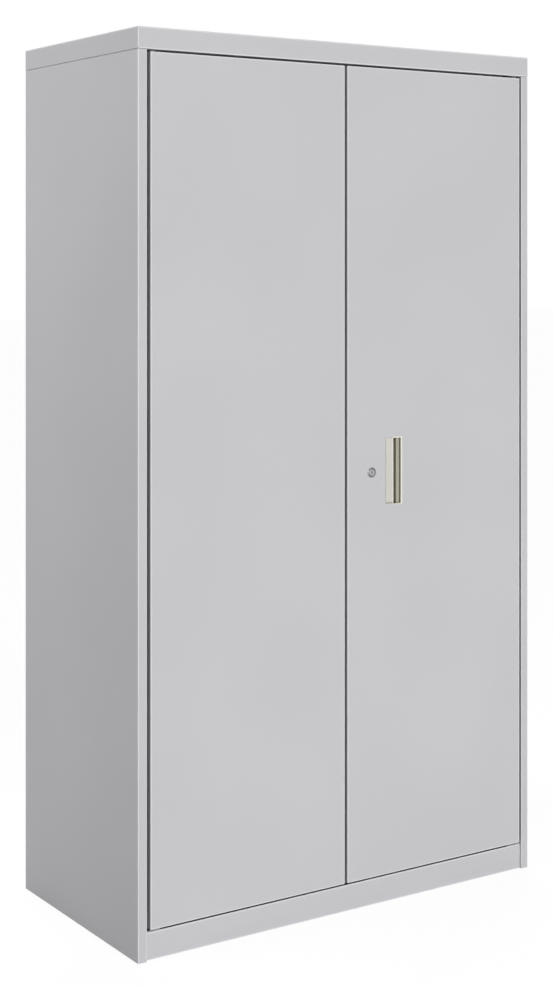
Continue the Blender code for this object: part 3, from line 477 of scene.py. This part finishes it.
def sidePanels(look):
    # stile return, stile, side and rear flange, one sheet each side
    for side, sign in (("left", -1), ("right", 1)):
        low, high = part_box("side_panel_" + side)
        outer = max(abs(low.x), abs(high.x))
        stile = min(abs(low.x), abs(high.x)) - look["stileWiden"][side]
        corners = [(-outer + look["rearFlange"], high.y), (-outer, high.y), (-outer, low.y),
                   (-stile, low.y), (-stile, low.y + look["stileReturn"])]
        corners = [(-x * sign, y) for x, y in corners]
        if sign > 0:
            corners = corners[::-1]
        made = foldedSheet("side-panel-" + side, corners, low.z, high.z - look["seam"], "xy", look["sheet"])
        dress(made, "carcass", coat, "powder_coat", "side_panel_" + side)


def boxTool(low, high):
    # a square-edged cutter
    low, high = np.array(low, float), np.array(high, float)
    corners = np.array([[0, 0], [1, 0], [1, 1], [0, 1]], float) * (high - low)[:2] + low[:2]
    rows = np.stack([np.column_stack([corners, np.full(4, z)]) for z in (low[2], high[2])])
    return surface("cutter", rows)


def drillTool(centre, radius, low, high, axis):
    # a round cutter from low to high along the axis
    along = "xyz".index(axis)
    centre = np.array(centre, float)
    centre[along] = 0
    return turned("cutter", [(0, low), (radius, low), (radius, high), (0, high)], centre, axis, 48)


def middle(node):
    low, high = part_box(node)
    return (low + high) / 2


def topCap(look):
    # the cap is one tray whose lip turns under all round
    low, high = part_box("top_cap")
    made = tray("top-cap", low, high, "xy", -1, look["sheet"], look["capLip"], look["tightBend"],
                look["highlightStrip"])
    dress(made, "carcass", coat, "powder_coat", "top_cap")
    # no painted highlight along the sides' seam, so the seam reads as a dark line
    centres, values = faceData(made.data, "center"), np.zeros(len(made.data.polygons))
    bend = made.data.attributes["bend"].data
    bend.foreach_get("value", values)
    seam = (np.abs(centres[:, 0]) > high.x - 2 * look["sheet"]) & (centres[:, 2] < low.z + look["seamStrip"])
    bend.foreach_set("value", np.where(seam, 0, values))


def basePan(look):
    # rear flange, floor, riser, ledge, kick rail and its return, cut back at the stiles
    low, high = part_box("base_pan")
    stiles = {side: min(abs(v.x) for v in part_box("side_panel_" + side)) - look["stileWiden"][side]
              for side in ("left", "right")}
    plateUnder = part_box("pivot_plate_lower_left")[0].z - look["fit"]
    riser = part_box("side_panel_left")[0].y + look["ledgeEnd"]
    corners = [(high.y, high.z - look["rearDrop"]), (high.y, high.z), (riser, high.z), (riser, plateUnder),
               (low.y, plateUnder), (low.y, low.z), (low.y + look["kickReturn"], low.z)]
    made = foldedSheet("base-pan", corners, low.x, high.x, "yz", look["sheet"], look["tightBend"],
                       support=look["highlightStrip"])
    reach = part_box("side_panel_left")[0].y + look["stileReturn"] + look["fit"]
    cutters = []
    for side, sign in (("left", -1), ("right", 1)):
        xs = sorted((sign * (stiles[side] - look["fit"]), sign * (high.x + look["over"])))
        cutters.append(boxTool((xs[0], low.y - look["over"], low.z - look["over"]),
                               (xs[1], reach, high.z + look["over"])))
    for guide, bar in (("rod_guide_lower_2", "lock_rod_lower"), ("bolt_guide_lower", "slide_bolt_lower")):
        x = middle(guide).x
        front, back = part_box(bar)[0].y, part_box(bar)[0].y + look["bar"]
        half, fit, over = look["keeperHalf"], look["keeperFit"], look["over"]
        cutters.append(boxTool((x - half, front - fit, plateUnder - over),
                               (x + half, back + fit, plateUnder + over)))
    carve(made, cutters)
    dress(made, "carcass", coat, "powder_coat", "base_pan")


def shelfTrays(look):
    for number in range(1, 5):
        low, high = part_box("shelf_%d" % number)
        made = tray("shelf-%d" % number, low, high, "xy", -1, look["sheet"], look["shelfLip"])
        dress(made, "carcass", coat, "powder_coat", "shelf_%d" % number)


# a rivet's dimple is in shares of its core and height
rivetShape = {"sunk": 0.0002, "dimple": ((0.9, 0.55), (0, 0.5))}
rivetLook = {"radius": 0.0024, "height": 0.0009, "core": 0.0009, "count": 10, "inset": 0.030,
             "endSpace": 0.045}


def rivet(centre, axis, way, look, segments=20):
    # A blind rivet: a shallow dome with the mandrel's dimple in the middle.
    r, h, c, sunk = look["radius"], look["height"], look["core"], rivetShape["sunk"]
    t = np.linspace(0, np.pi / 2, 5)
    rise = np.stack([c + (r - c) * np.cos(t), h * np.sin(t)], -1)
    dimple = [(c * wide, h * deep) for wide, deep in rivetShape["dimple"]]
    profile = np.concatenate([[(0, -sunk), (r, -sunk)], rise, dimple])
    return turned("rivet", profile, centre, axis, segments, way)


def backRivets(look):
    # a column of rivets down each edge of the back panel, into the side panels' flanges
    low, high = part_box("back_panel")
    heights = np.linspace(low.z + look["endSpace"], high.z - look["endSpace"], look["count"])
    for side, x in (("left", low.x + look["inset"]), ("right", high.x - look["inset"])):
        made = together("back-rivets-" + side, [rivet((x, high.y, z), "y", 1, look) for z in heights])
        dress(made, "carcass", zincDeep, "zinc_plate")


gapShadeLook = {"thick": 0.0006, "edge": 0.0002, "stopTall": 0.0035, "stopEnd": 0.040, "endFree": 0.0034,
            "frontFree": 0.0016, "ledgeWide": 0.0070}


def gapShadeStrips(look):
    # Black strips behind the gaps over and under the doors, a painted shade that makes the gaps dark.
    head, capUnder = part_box("door_header")[1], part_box("top_cap")[0].z
    reach, stopFace = head.x - look["stopEnd"], head.y - carcassLook["sheet"]
    upper = roundedBlock("gap-shade-strip-upper", (-reach, stopFace - look["thick"], capUnder - look["stopTall"]),
                         (reach, stopFace, capUnder), "xz", look["edge"], look["edge"])
    dress(upper, "carcass", blackNylon, "black_nylon")
    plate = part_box("pivot_plate_lower_right")[0]
    reach, ledge = plate.x - look["endFree"], plate.z - carcassLook["fit"]
    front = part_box("base_pan")[0].y + look["frontFree"]
    end = (reach, front + look["ledgeWide"], ledge + look["thick"])
    lower = roundedBlock("gap-shade-strip-lower", (-reach, front, ledge), end, "xy", look["edge"], look["edge"])
    dress(lower, "carcass", blackNylon, "black_nylon")


sidePanels(carcassLook)
gapShadeStrips(gapShadeLook)
topCap(carcassLook)
basePan(carcassLook)
shelfTrays(carcassLook)
backRivets(rivetLook)
print("carcass dressed")


# doors

doorLook = {"sheet": 0.0009, "bend": 0.0011, "highlightStrip": 0.0014, "lip": 0.016, "fit": 0.0003,
            "slide": 0.0006, "over": 0.003, "bar": 0.0015, "barHalf": 0.004, "bushRadius": 0.0052,
            "lockBody": 0.009,
            # each skin is drawn in at its low and high ends, which keeps the gaps open to the eye
            "drawIn": {"left": ((0.0026, 0, 0.0012), (0.0002, 0, 0.0012)),
                       "right": ((0.0007, 0, 0.0012), (-0.0003, 0, 0.0012))}}


def doorTray(side, look):
    # a tray with holes for its pivots, its bars and, on the right, the pull and the lock
    low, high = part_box("door_" + side)
    drawLow, drawHigh = [Vector(step) for step in look["drawIn"][side]]
    made = tray("door-skin-" + side, low + drawLow, high - drawHigh, "xz", 1, look["sheet"], look["lip"],
                look["bend"], look["highlightStrip"])
    over, half = look["over"], look["barHalf"] + look["slide"]
    cutters = []
    for level, z in (("lower", low.z), ("upper", high.z)):
        cutters.append(drillTool(middle("bush_%s_%s" % (level, side)), look["bushRadius"] + look["fit"],
                                 z - over, z + over, "z"))
        guide, bar = {"left": ("bolt_guide_%s", "slide_bolt_%s"),
                      "right": ("rod_guide_%s_2", "lock_rod_%s")}[side]
        x, front = middle(guide % level).x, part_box(bar % level)[0].y
        cutters.append(boxTool((x - half, front - look["slide"], z - over),
                               (x + half, front + look["bar"] + look["slide"], z + over)))
    if side == "right":
        cutters.append(drillTool(middle("lock_barrel"), look["lockBody"] + look["fit"], low.y - over,
                                 low.y + over, "y"))
        for a, b in pullHoles(pullLook, look["fit"]):
            carve(made, [boxTool((a[0], low.y - over, a[2]), (b[0], low.y + over, b[2]))])
    carve(made, cutters)
    dress(made, "door_%s_leaf" % side, coat, "powder_coat", "door_" + side)


stiffenerLook = {"sheet": 0.0009, "flange": 0.015, "depth": 0.015, "weldRadius": 0.0028,
                 "weldHeight": 0.00012, "weldPitch": 0.11, "weldAcross": 0.45,
                 # a weld's dent from its middle under the skin to its top, in shares of radius and height
                 "weldDent": ((0, -1), (1, -1), (1, 0), (0.86, 1), (0.62, 0.3), (0, 0.2))}


def doorStiffener(side, look):
    # a hat section down the inside of the door, with spot welds along both flanges
    low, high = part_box("stiffener_" + side)
    flange, near, far = look["flange"], low.y, low.y + look["depth"]
    corners = [(low.x, near), (low.x + flange, near), (low.x + flange, far), (high.x - flange, far),
               (high.x - flange, near), (high.x, near)]
    made = foldedSheet("door-stiffener-" + side, corners, low.z, high.z, "xy", look["sheet"])
    dress(made, "door_%s_leaf" % side, coat, "powder_coat", "stiffener_" + side)
    ring = [(look["weldRadius"] * wide, look["weldHeight"] * tall) for wide, tall in look["weldDent"]]
    aside, pitch = flange * look["weldAcross"], look["weldPitch"]
    heights = np.linspace(low.z + pitch / 4, high.z - pitch / 4, int((high.z - low.z) / pitch))
    marks = [turned("weld", ring, (x, near + look["sheet"], z), "y", 20)
             for x in (low.x + aside, high.x - aside) for z in heights]
    dress(together("spot-welds-" + side, marks), "door_%s_leaf" % side, coat, "powder_coat")


pullLook = {"bottom": 0.0002, "top": 0.0012, "right": 0.0018, "edge": 0.0003, "corner": 0.0012,
            "frameFrom": 0.0193, "mouthFrom": 0.0213, "mouthTo": 0.0395, "cupEnd": (0.0008, 0.0003),
            "cupSide": 0.0008, "cupLap": 0.002, "wall": 0.0010, "hidden": (0.0052, 0.0065, 0.0030),
            "ledgeWide": 0.0063, "ledgeDeep": (0.0070, 0.0052), "lip": 0.0026, "over": 0.003, "join": 0.0001,
            "sliver": 0.00001, "plateFrom": 0.0032, "plateEnds": (0.0024, 0.0006), "plateProud": 0.0006,
            "plateMiddle": 0.0012, "roll": 0.0024, "bevel": 0.0010, "bevelCorner": (-0.0002, 0.00025),
            "bevelArc": (0.0004, 0.0006), "chin": 0.0034, "chinRise": 0.15, "tip": 0.0003,
            "paintedHighlight": (1.0, 0.8), "paintedHighlightDeep": 0.003, "cupFrom": 0.0004, "forward": -0.2, "downward": -0.3}


def pullHoles(look, grow=0.0):
    # the two boxes that the pull's cup fills: under the mouth, and the lower part behind the plate
    low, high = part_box("door_pull")
    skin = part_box("door_right")[0].y
    ends = (low.z + look["cupEnd"][0], high.z - look["cupEnd"][1])
    x = (low.x + look["mouthFrom"] - look["wall"], high.x - look["right"] - look["cupSide"])
    hidden = (low.x + look["hidden"][0], low.z + look["hidden"][1], high.z - look["hidden"][2])
    boxes = [((x[0], skin, ends[0]), (x[1], high.y, ends[1])),
             ((hidden[0], skin, hidden[1]), (x[0] + look["cupLap"], high.y, hidden[2]))]
    grown = grow * np.array([1, 0, 1])
    return [(np.array(a) - grown, np.array(b) + grown) for a, b in boxes]


def pullFrame(look, face, skin, mouth, cups):
    # a frame round the mouth, a deep pocket that runs behind the plate, a shallow ledge
    low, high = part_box("door_pull")
    wall = look["wall"]
    start = (low.x + look["frameFrom"], face, low.z + look["bottom"])
    end = (high.x - look["right"], skin, high.z + look["top"])
    frame = roundedBlock("pull-frame", start, end, "xz", look["corner"], look["edge"])
    for a, b in cups:
        a[1] = (face + skin) / 2 + look["join"]
        carve(frame, [boxTool(a, b)], "UNION")
    ends = (cups[0][0][2] + wall, cups[0][1][2] - wall)
    floor, deepTo, front = high.y - wall, mouth[1] - look["ledgeWide"], face - look["over"]
    deep = [face + depth for depth in look["ledgeDeep"]]
    opening = np.array([(mouth[0], front), (mouth[1], front), (mouth[1], deep[1]), (deepTo, deep[0]),
                        (mouth[0], deep[0])])
    rows = np.stack([np.column_stack([opening, np.full(len(opening), z)]) for z in ends])
    carve(frame, [surface("opening", rows)])
    carve(frame, [boxTool((mouth[0] - wall / 2, face + look["lip"], ends[0]), (deepTo, floor, ends[1]))])
    carve(frame, [boxTool((cups[1][0][0] + wall, face + look["lip"], cups[1][0][2] + wall),
                          (mouth[0] + wall, floor - look["sliver"], cups[1][1][2] - wall))])
    dress(frame, "door_right_leaf", pullPlastic, "pull_moulding", "door_pull")
    return frame


def pullPlate(look, face, skin, mouth, cups):
    # the flat plate: its left edge is bevelled, its free edge is rolled towards the pocket
    low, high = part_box("door_pull")
    r, x0, x1 = look["roll"], low.x + look["plateFrom"], mouth[0]
    back, inside = face + look["lip"] - look["join"], cups[1][0][0] + look["wall"]
    bevel, (cornerX, cornerY), (arcX, arc) = x0 + look["bevel"], look["bevelCorner"], look["bevelArc"]
    section = np.concatenate([[(x0, skin), (bevel + cornerX, low.y + cornerY)],
                              quarter((bevel + arcX, low.y + arc), arc, 225, 270, 2),
                              quarter((x1 - r, low.y + r), r, -90, 0, 8),
                              [(x1, back), (inside, back), (inside, skin)]])
    bottom, top = low.z + look["plateEnds"][0], high.z - look["plateEnds"][1]
    centre = np.array([(x0 + x1) / 2, low.y + look["plateMiddle"]])
    rows = [np.column_stack([section - np.sign(section - centre) * draw, np.full(len(section), z)])
            for z, draw in ((bottom + look["chin"], 0), (top - look["tip"], 0), (top, look["tip"]))]
    chin = rows[0].copy()      # the lower end slopes back to the skin
    chin[:, 1] = np.where(chin[:, 1] < skin, skin - (skin - chin[:, 1]) * look["chinRise"], chin[:, 1])
    chin[:, 2] = bottom
    plate = surface("pull-plate", np.stack([chin, *rows]))
    dress(plate, "door_right_leaf", pullPlastic, "pull_moulding")
    return plate


def doorPull(look):
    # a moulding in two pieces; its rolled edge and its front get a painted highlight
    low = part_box("door_pull")[0]
    face, skin = low.y + look["plateProud"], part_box("door_right")[0].y - doorLook["fit"]
    mouth, cups = (low.x + look["mouthFrom"], low.x + look["mouthTo"]), pullHoles(look)
    frame, plate = pullFrame(look, face, skin, mouth, cups), pullPlate(look, face, skin, mouth, cups)
    for piece, fromX, amount in ((plate, mouth[0] - look["roll"], look["paintedHighlight"][0]),
                                 (frame, low.x, look["paintedHighlight"][1])):
        centres, normals = faceData(piece.data, "center"), faceData(piece.data, "normal")
        forward, downward = normals[:, 1] < look["forward"], normals[:, 2] < look["downward"]
        # the forward faces near the front are painted with the highlight
        highlighted = (centres[:, 0] > fromX) & forward & (centres[:, 1] < face + look["paintedHighlightDeep"])
        piece.data.attributes["bend"].data.foreach_set("value", highlighted * amount)
        # the cup behind the frame and the plate's downward lower end get a darker plastic, painted shade in
        # the pocket and under the plate
        paintedShade = centres[:, 1] > face + look["cupFrom"] if piece is frame else downward
        piece.data.materials.append(pocketShadePlastic)
        piece.data.polygons.foreach_set("material_index", paintedShade.astype(np.int32))


lockLook = {"faceRadius": 0.0099, "body": 0.009, "proud": 0.0014, "plug": 0.0062, "fit": 0.0003,
            "bodyEnd": 0.0118, "rimEdge": 0.0009, "dish": 0.0010, "dishIn": 0.0067, "dishOut": 0.0087,
            "soft": 0.0003, "pitch": 0.001, "threadEnds": (0.0012, 0.0004), "threadSink": 0.00045,
            "bodyTaper": 0.0005}
plugLook = {"chamfer": 0.0004, "sink": 0.0004, "keyWide": 0.0022, "keyHigh": 0.0056, "keyDeep": 0.006,
            "ward": 0.0005, "over": 0.001, "drive": 0.004, "driveEnd": 0.0138, "driveSink": 0.002,
            "driveRound": (0.0004, 0.0002), "threadRadius": 0.0013, "threadDeep": 0.0043,
            # round the keyway: side in half widths, 1 where a ward steps in, height in half heights
            "keyway": ((-1, 0, -1), (1, 0, -1), (1, 0, -0.35), (1, 1, -0.25), (1, 1, 0.05), (1, 0, 0.15),
                       (1, 0, 1), (-1, 0, 1), (-1, 0, 0.55), (-1, 1, 0.45), (-1, 1, 0.2), (-1, 0, 0.1))}


def lockCentre():
    low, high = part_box("lock_barrel")
    return (low.x + high.x) / 2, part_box("door_right")[0].y, (low.z + high.z) / 2


def lockFace(look):
    # The barrel: a rolled rim round a shallow dish, its body behind the skin threaded for the nut.
    bore, body, soft = look["plug"] + look["fit"], look["body"], look["soft"]
    proud, edge, end = look["proud"], look["rimEdge"], look["bodyEnd"]
    rolled = quarter((look["faceRadius"] - edge, proud - edge), edge, 0, 90, 6)
    t = np.linspace(0, np.pi, 9)
    half = (look["dishOut"] - look["dishIn"]) / 2
    dish = np.stack([(look["dishIn"] + look["dishOut"]) / 2 + half * np.cos(t),
                     proud - look["dish"] * np.sin(t)], -1)
    start, stop = look["threadEnds"]
    z = np.arange(-start, -end + stop, -look["pitch"] / 2)
    thread = np.stack([np.where(np.arange(len(z)) % 2 == 0, body, body - look["threadSink"]), z], -1)
    profile = np.concatenate([[(body, soft), (look["faceRadius"], soft)], rolled, dish,
                              [(bore + soft, proud), (bore, proud - soft), (bore, -end),
                               (body - look["bodyTaper"], -end)], thread[::-1]])
    barrel = turned("lock-barrel-face", profile, lockCentre(), "y", 96, -1, closed=True)
    dress(barrel, "door_right_leaf", nickel, "nickel_plate", "lock_barrel")


def lockPlug(barrel, look):
    # The plug with its keyway, whose two wards step in from the sides, and the square drive behind it.
    x, y, z = lockCentre()
    r, edge, half = barrel["plug"], look["chamfer"], look["drive"] / 2
    face, back, end = y - barrel["proud"] + look["sink"], y + barrel["bodyEnd"], y + look["driveEnd"]
    profile = [(0, face), (r - edge, face), (r, face + edge), (r, back - edge), (r - edge, back), (0, back)]
    plug = turned("lock-plug-face", profile, (x, 0, z), "y", 72)
    carve(plug, [roundedBlock("drive", (x - half, back - look["driveSink"], z - half),
                              (x + half, end, z + half), "xz", *look["driveRound"])], "UNION")
    wide, high, ward = look["keyWide"] / 2, look["keyHigh"] / 2, look["ward"]
    key = np.array([(x + side * (wide - ward * inward), z + high * up)
                    for side, inward, up in look["keyway"]])
    rows = np.stack([np.column_stack([key[:, 0], np.full(len(key), depth), key[:, 1]])
                     for depth in (face - look["over"], y + look["keyDeep"] - barrel["proud"])])
    carve(plug, [surface("keyway", rows)])
    carve(plug, [drillTool((x, 0, z), look["threadRadius"], end - look["threadDeep"], end + look["over"],
                           "y")])
    # the plug's nickel is painted lighter than the barrel's
    dress(plug, "lock_core", nickelPaintedLit, "nickel_plate", "lock_plug")


for side in ("left", "right"):
    doorTray(side, doorLook)
for side in ("left", "right"):
    doorStiffener(side, stiffenerLook)
doorPull(pullLook)
lockFace(lockLook)
lockPlug(lockLook, plugLook)
print("doors dressed")


# fittings

glideLook = {"padLow": 0.001, "padTop": 0.008, "pad": 0.015, "padRound": 0.0022, "stem": 0.004,
             "stemTop": 0.040, "collar": 0.0012, "tip": 0.0012, "pitch": 0.00125, "threadDeep": 0.0006,
             "threadEnds": (0.003, 0.0015), "turnSteps": 28}


def glide(row, side, look):
    # A pad and its screw in one: the thread is a helix, the radius falling and rising with height and angle.
    at = middle("glide_%s_%s" % (row, side))
    r, rim, stem, top = look["pad"], look["padRound"], look["stem"], look["padTop"]
    collar, tip, end = look["collar"], look["tip"], look["stemTop"]
    pad = np.concatenate([[(0, look["padLow"])], quarter((r - rim, look["padLow"] + rim), rim, -90, 0, 5),
                          quarter((r - rim, top - rim), rim, 0, 90, 5),
                          [(stem + collar, top), (stem, top + collar)]])
    pitch, depth, steps = look["pitch"], look["threadDeep"], look["turnSteps"]
    z = np.arange(top + look["threadEnds"][0], end - look["threadEnds"][1], pitch / 6)
    angle = np.linspace(0, 2 * np.pi, steps, endpoint=False)
    phase = (z[:, None] / pitch - angle[None] / (2 * np.pi)) % 1
    thread = stem - depth * np.abs(2 * phase - 1)
    plain = np.repeat(pad[:, :1], steps, axis=1)
    point = [[size] * steps for size in (stem - depth, stem - 2 * depth, 0)]
    radius = np.concatenate([plain, thread, point])
    heights = np.concatenate([pad[:, 1], z, [end - tip, end, end]])
    rows = np.stack([at.x + radius * np.cos(angle), at.y + radius * np.sin(angle),
                     np.repeat(heights[:, None], steps, axis=1)], -1)
    made = surface("glide-%s-%s" % (row, side), rows)
    dress(made, "foot_%s_%s" % (row, side), zinc, "zinc_plate", "glide_%s_%s" % (row, side))


guideLook = {"edge": 0.0008, "draft": 0.0015, "corner": 0.0012, "foot": (0.0001, 0.0004),
             "barWide": 0.008, "barThick": 0.0015, "slotSide": 0.0002, "over": 0.003,
             "rivetAside": 0.0016, "rivetStep": 0.0030}
smallRivet = {"radius": 0.0015, "height": 0.0006, "core": 0.0006}


def barGuide(node, bar, body, look):
    # a drafted moulding with soft edges, slotted for the bar, held by two rivets on each side of it
    low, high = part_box(node)
    name, at = node.replace("_", "-"), (low + high) / 2
    edge, draft, side, over = look["edge"], look["draft"], look["slotSide"], look["over"]
    rise = quarter((draft + edge, high.y - low.y - edge), edge, 180, 90, 4)
    made = stacked(name, (at.x, low.y, at.z), ((high.x - low.x) / 2, (high.z - low.z) / 2), look["corner"],
                   np.concatenate([[(0, 0), look["foot"]], rise]), "xz")
    front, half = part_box(bar)[0].y, look["barWide"] / 2
    carve(made, [boxTool((at.x - half - side, front - side, low.z - over),
                         (at.x + half + side, front + look["barThick"] + side, high.z + over))])
    dress(made, body, blackNylon, "black_nylon", node)
    step = look["rivetStep"]
    spots = [rivet((at.x + way * (half + look["rivetAside"]), high.y, at.z + up), "y", 1, smallRivet, 16)
             for way in (-1, 1) for up in (-step, step)]
    dress(together(name + "-rivets", spots), body, zincDeep, "zinc_plate")


catchLook = {"caseFit": 0.0003, "caseRound": (0.002, 0.0012), "nose": 0.003, "noseFront": 0.0002,
             "noseBack": 0.004, "noseRound": (0.001, 0.0005), "poleEnd": 0.003, "poleAside": 0.0022,
             "poleHalf": 0.0007, "poleDeep": 0.002, "poleRound": (0.0003, 0.00015)}


def magnetCatch(side, look):
    # a moulded case, and in its nose two steel pole plates that the door meets
    low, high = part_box("catch_" + side)
    step, thin, deep = look["nose"], look["poleHalf"], look["poleDeep"]
    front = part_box("door_header")[1].y + look["caseFit"]
    case = roundedBlock("case", (low.x, front, low.z), tuple(high), "xz", *look["caseRound"])
    nose = roundedBlock("nose", (low.x + step, low.y + look["noseFront"], low.z + step / 2),
                        (high.x - step, high.y - look["noseBack"], high.z - step / 2), "xz",
                        *look["noseRound"])
    dress(together("catch-case-" + side, [case, nose]), "carcass", blackNylon, "black_nylon",
          "catch_" + side)
    x0, x1 = low.x + step + look["poleEnd"], high.x - step - look["poleEnd"]
    heights = [(low.z + high.z) / 2 + way * look["poleAside"] for way in (-1, 1)]
    poles = [roundedBlock("pole", (x0, low.y, z - thin), (x1, low.y + deep, z + thin), "xz",
                          *look["poleRound"]) for z in heights]
    dress(together("catch-poles-" + side, poles), "carcass", zincDeep, "zinc_plate")


bushLook = {"bore": 0.0036, "stem": 0.0052, "flange": 0.007, "edge": 0.0003, "doorFit": 0.0003}


def pivotBush(level, side, look):
    # a flanged bush: its flange lies between the pivot plate and the door
    node = "bush_%s_%s" % (level, side)
    low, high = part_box(node)
    doorLow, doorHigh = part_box("door_" + side)
    tall, e, bore, stem, wide = high.z - low.z, look["edge"], look["bore"], look["stem"], look["flange"]
    way, start, flange = 1, low.z, doorLow.z - look["doorFit"] - low.z
    if level == "upper":
        way, start, flange = -1, high.z, high.z - doorHigh.z - look["doorFit"]
    profile = [(bore + e, 0), (wide - e, 0), (wide, e), (wide, flange - e), (wide - e, flange),
               (stem, flange), (stem, tall - e), (stem - e, tall), (bore + e, tall), (bore, tall - e),
               (bore, e)]
    profile = [(r, start + way * h) for r, h in profile]
    made = turned(node.replace("_", "-"), profile, (*middle(node).xy, 0), "z", 48, closed=True)
    dress(made, "door_%s_leaf" % side, bushNylonShaded, "white_nylon", node)


plateScrew = {"radius": 0.0030, "height": 0.0008, "core": 0.0012}
screwLook = {"aside": 0.0095, "plate": 0.0012}


def pivotScrews(level, side, look):
    # two low-headed screws hold each pivot plate
    low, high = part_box("pivot_plate_%s_%s" % (level, side))
    at = (low + high) / 2
    z, way = (low.z + look["plate"], 1) if level == "lower" else (high.z - look["plate"], -1)
    heads = [rivet((at.x + sign * look["aside"], at.y, z), "z", way, plateScrew, 24) for sign in (-1, 1)]
    dress(together("pivot-screws-%s-%s" % (level, side), heads), "carcass", zincDeep, "zinc_plate")


for row in ("front", "rear"):
    for side in ("left", "right"):
        glide(row, side, glideLook)
for level in ("upper", "lower"):
    for number in (1, 2):
        barGuide("rod_guide_%s_%d" % (level, number), "lock_rod_" + level, "door_right_leaf", guideLook)
    barGuide("bolt_guide_" + level, "slide_bolt_" + level, "door_left_leaf", guideLook)
    for side in ("left", "right"):
        pivotBush(level, side, bushLook)
        pivotScrews(level, side, screwLook)
for side in ("left", "right"):
    magnetCatch(side, catchLook)
print("fittings dressed")


# the CAD nodes that stay as they are get their finish

upright = ("standard", "lock_rod", "slide_bolt", "glide")
slotFinish = {"powder_coat": coat, "nickel_plate": nickel, "black_nylon": blackNylon,
              "white_nylon": bushNylonShaded, "pull_moulding": pullPlastic}
for part in frame["record"]["subparts"]:
    node = nodes[part["node"]]
    finish = slotFinish.get(part["material_slot"])
    node.data.materials.clear()
    node.data.materials.append(finish or (zinc if part["node"].startswith(upright) else zincDeep))
print("kept nodes finished")


# stage, light and camera

stageLook = {"floor": "#ececec", "floorHalf": 30.0, "floorSeen": 0.88, "floorShade": 0.2, "world": 0.22}
lampLook = {
    "front sun": ("SUN", (0.05, -2.6, 0.5), (0, 0, 0), {"energy": 1.66, "angle": 0.3}),
    "back sun": ("SUN", (1.5, 2.4, 1.4), (0, 0, 0), {"energy": 1.2, "angle": 0.9}),
    "low front softbox": ("AREA", (0.0, -2.4, 0.35), (0, -0.2, 0.0),
                          {"energy": 4.0, "shape": "RECTANGLE", "size": 1.6, "size_y": 0.6}),
    "high front softbox": ("AREA", (0.1, -1.3, 2.2), (0, -0.2, 1.6),
                           {"energy": 1.2, "shape": "RECTANGLE", "size": 1.6, "size_y": 0.4}),
    "side softbox": ("AREA", (-2.6, 0.6, 2.5), (-0.45, 0, 1.0), {"energy": 28.0, "size": 1.6}),
}
cameraLook = {"lens": 64.83, "shift": (0.0068, -0.2387), "place": (-2.0015, -2.9871, 1.2498),
              "turn": (90, 0, -33.46)}


def stage(look):
    # A white floor and a white surround for the camera and for reflections; the floor keeps the shadow.
    floor = bpy.data.objects.new("floor", bpy.data.meshes.new("floor"))
    bpy.context.scene.collection.objects.link(floor)
    r = look["floorHalf"]
    floor.data.from_pydata([(-r, -r, 0), (r, -r, 0), (r, r, 0), (-r, r, 0)], [], [(0, 1, 2, 3)])
    dull = {"Base Color": toLinear(look["floor"]), "Roughness": 0.9, "Specular IOR Level": 0.0}
    made, tree, shader = startMaterial("floor white", dull)[:3]
    white = addNode(tree, "Emission", {"Strength": look["floorSeen"]})
    shade = addNode(tree, "BsdfDiffuse", {"Color": [look["floorShade"]] * 3 + [1]})
    seen = addNode(tree, "AddShader", None, {0: white.outputs[0], 1: shade.outputs[0]})
    pick = addNode(tree, "MixShader", None, {0: directRays(tree), 1: shader.outputs[0], 2: seen.outputs[0]})
    tree.links.new(pick.outputs[0], tree.nodes["Material Output"].inputs[0])
    floor.data.materials.append(made)
    world = bpy.data.worlds.new("studio")
    bpy.context.scene.world = world
    world.use_nodes = True
    tree = world.node_tree
    tree.nodes.clear()
    plain, seen = [addNode(tree, "Background", {"Color": (1, 1, 1, 1), "Strength": strength})
                   for strength in (look["world"], 1.0)]
    mix = addNode(tree, "MixShader", None, {0: directRays(tree), 1: plain.outputs[0], 2: seen.outputs[0]})
    addNode(tree, "OutputWorld", None, {"Surface": mix.outputs[0]})


def directRays(tree):
    # 1 for the camera's rays and for what metal and plastic reflect
    rays = addNode(tree, "LightPath")
    value = rays.outputs["Is Camera Ray"]
    for kind in ("Is Glossy Ray", "Is Transmission Ray"):
        value = addNode(tree, "Math", {"operation": "MAXIMUM"}, {0: value, 1: rays.outputs[kind]}).outputs[0]
    return value


def lamp(name, kind, place, aim, settings):
    # a lamp at a place, facing its aim
    data = bpy.data.lights.new(name, kind)
    for key, value in settings.items():
        setattr(data, key, value)
    made = bpy.data.objects.new(name, data)
    made.location = place
    made.rotation_euler = (Vector(aim) - Vector(place)).to_track_quat("-Z", "Y").to_euler()
    bpy.context.scene.collection.objects.link(made)


def camera(look):
    # upright, with the lens shifted
    data = bpy.data.cameras.new("camera")
    data.lens = look["lens"]
    data.shift_x, data.shift_y = look["shift"]
    made = bpy.data.objects.new("camera", data)
    made.location = look["place"]
    made.rotation_euler = [math.radians(angle) for angle in look["turn"]]
    bpy.context.scene.collection.objects.link(made)
    bpy.context.scene.camera = made


stage(stageLook)
for name, (kind, place, aim, settings) in lampLook.items():
    lamp(name, kind, place, aim, settings)
camera(cameraLook)
bpy.context.scene.view_settings.view_transform = "Standard"
print("stage, light and camera set")
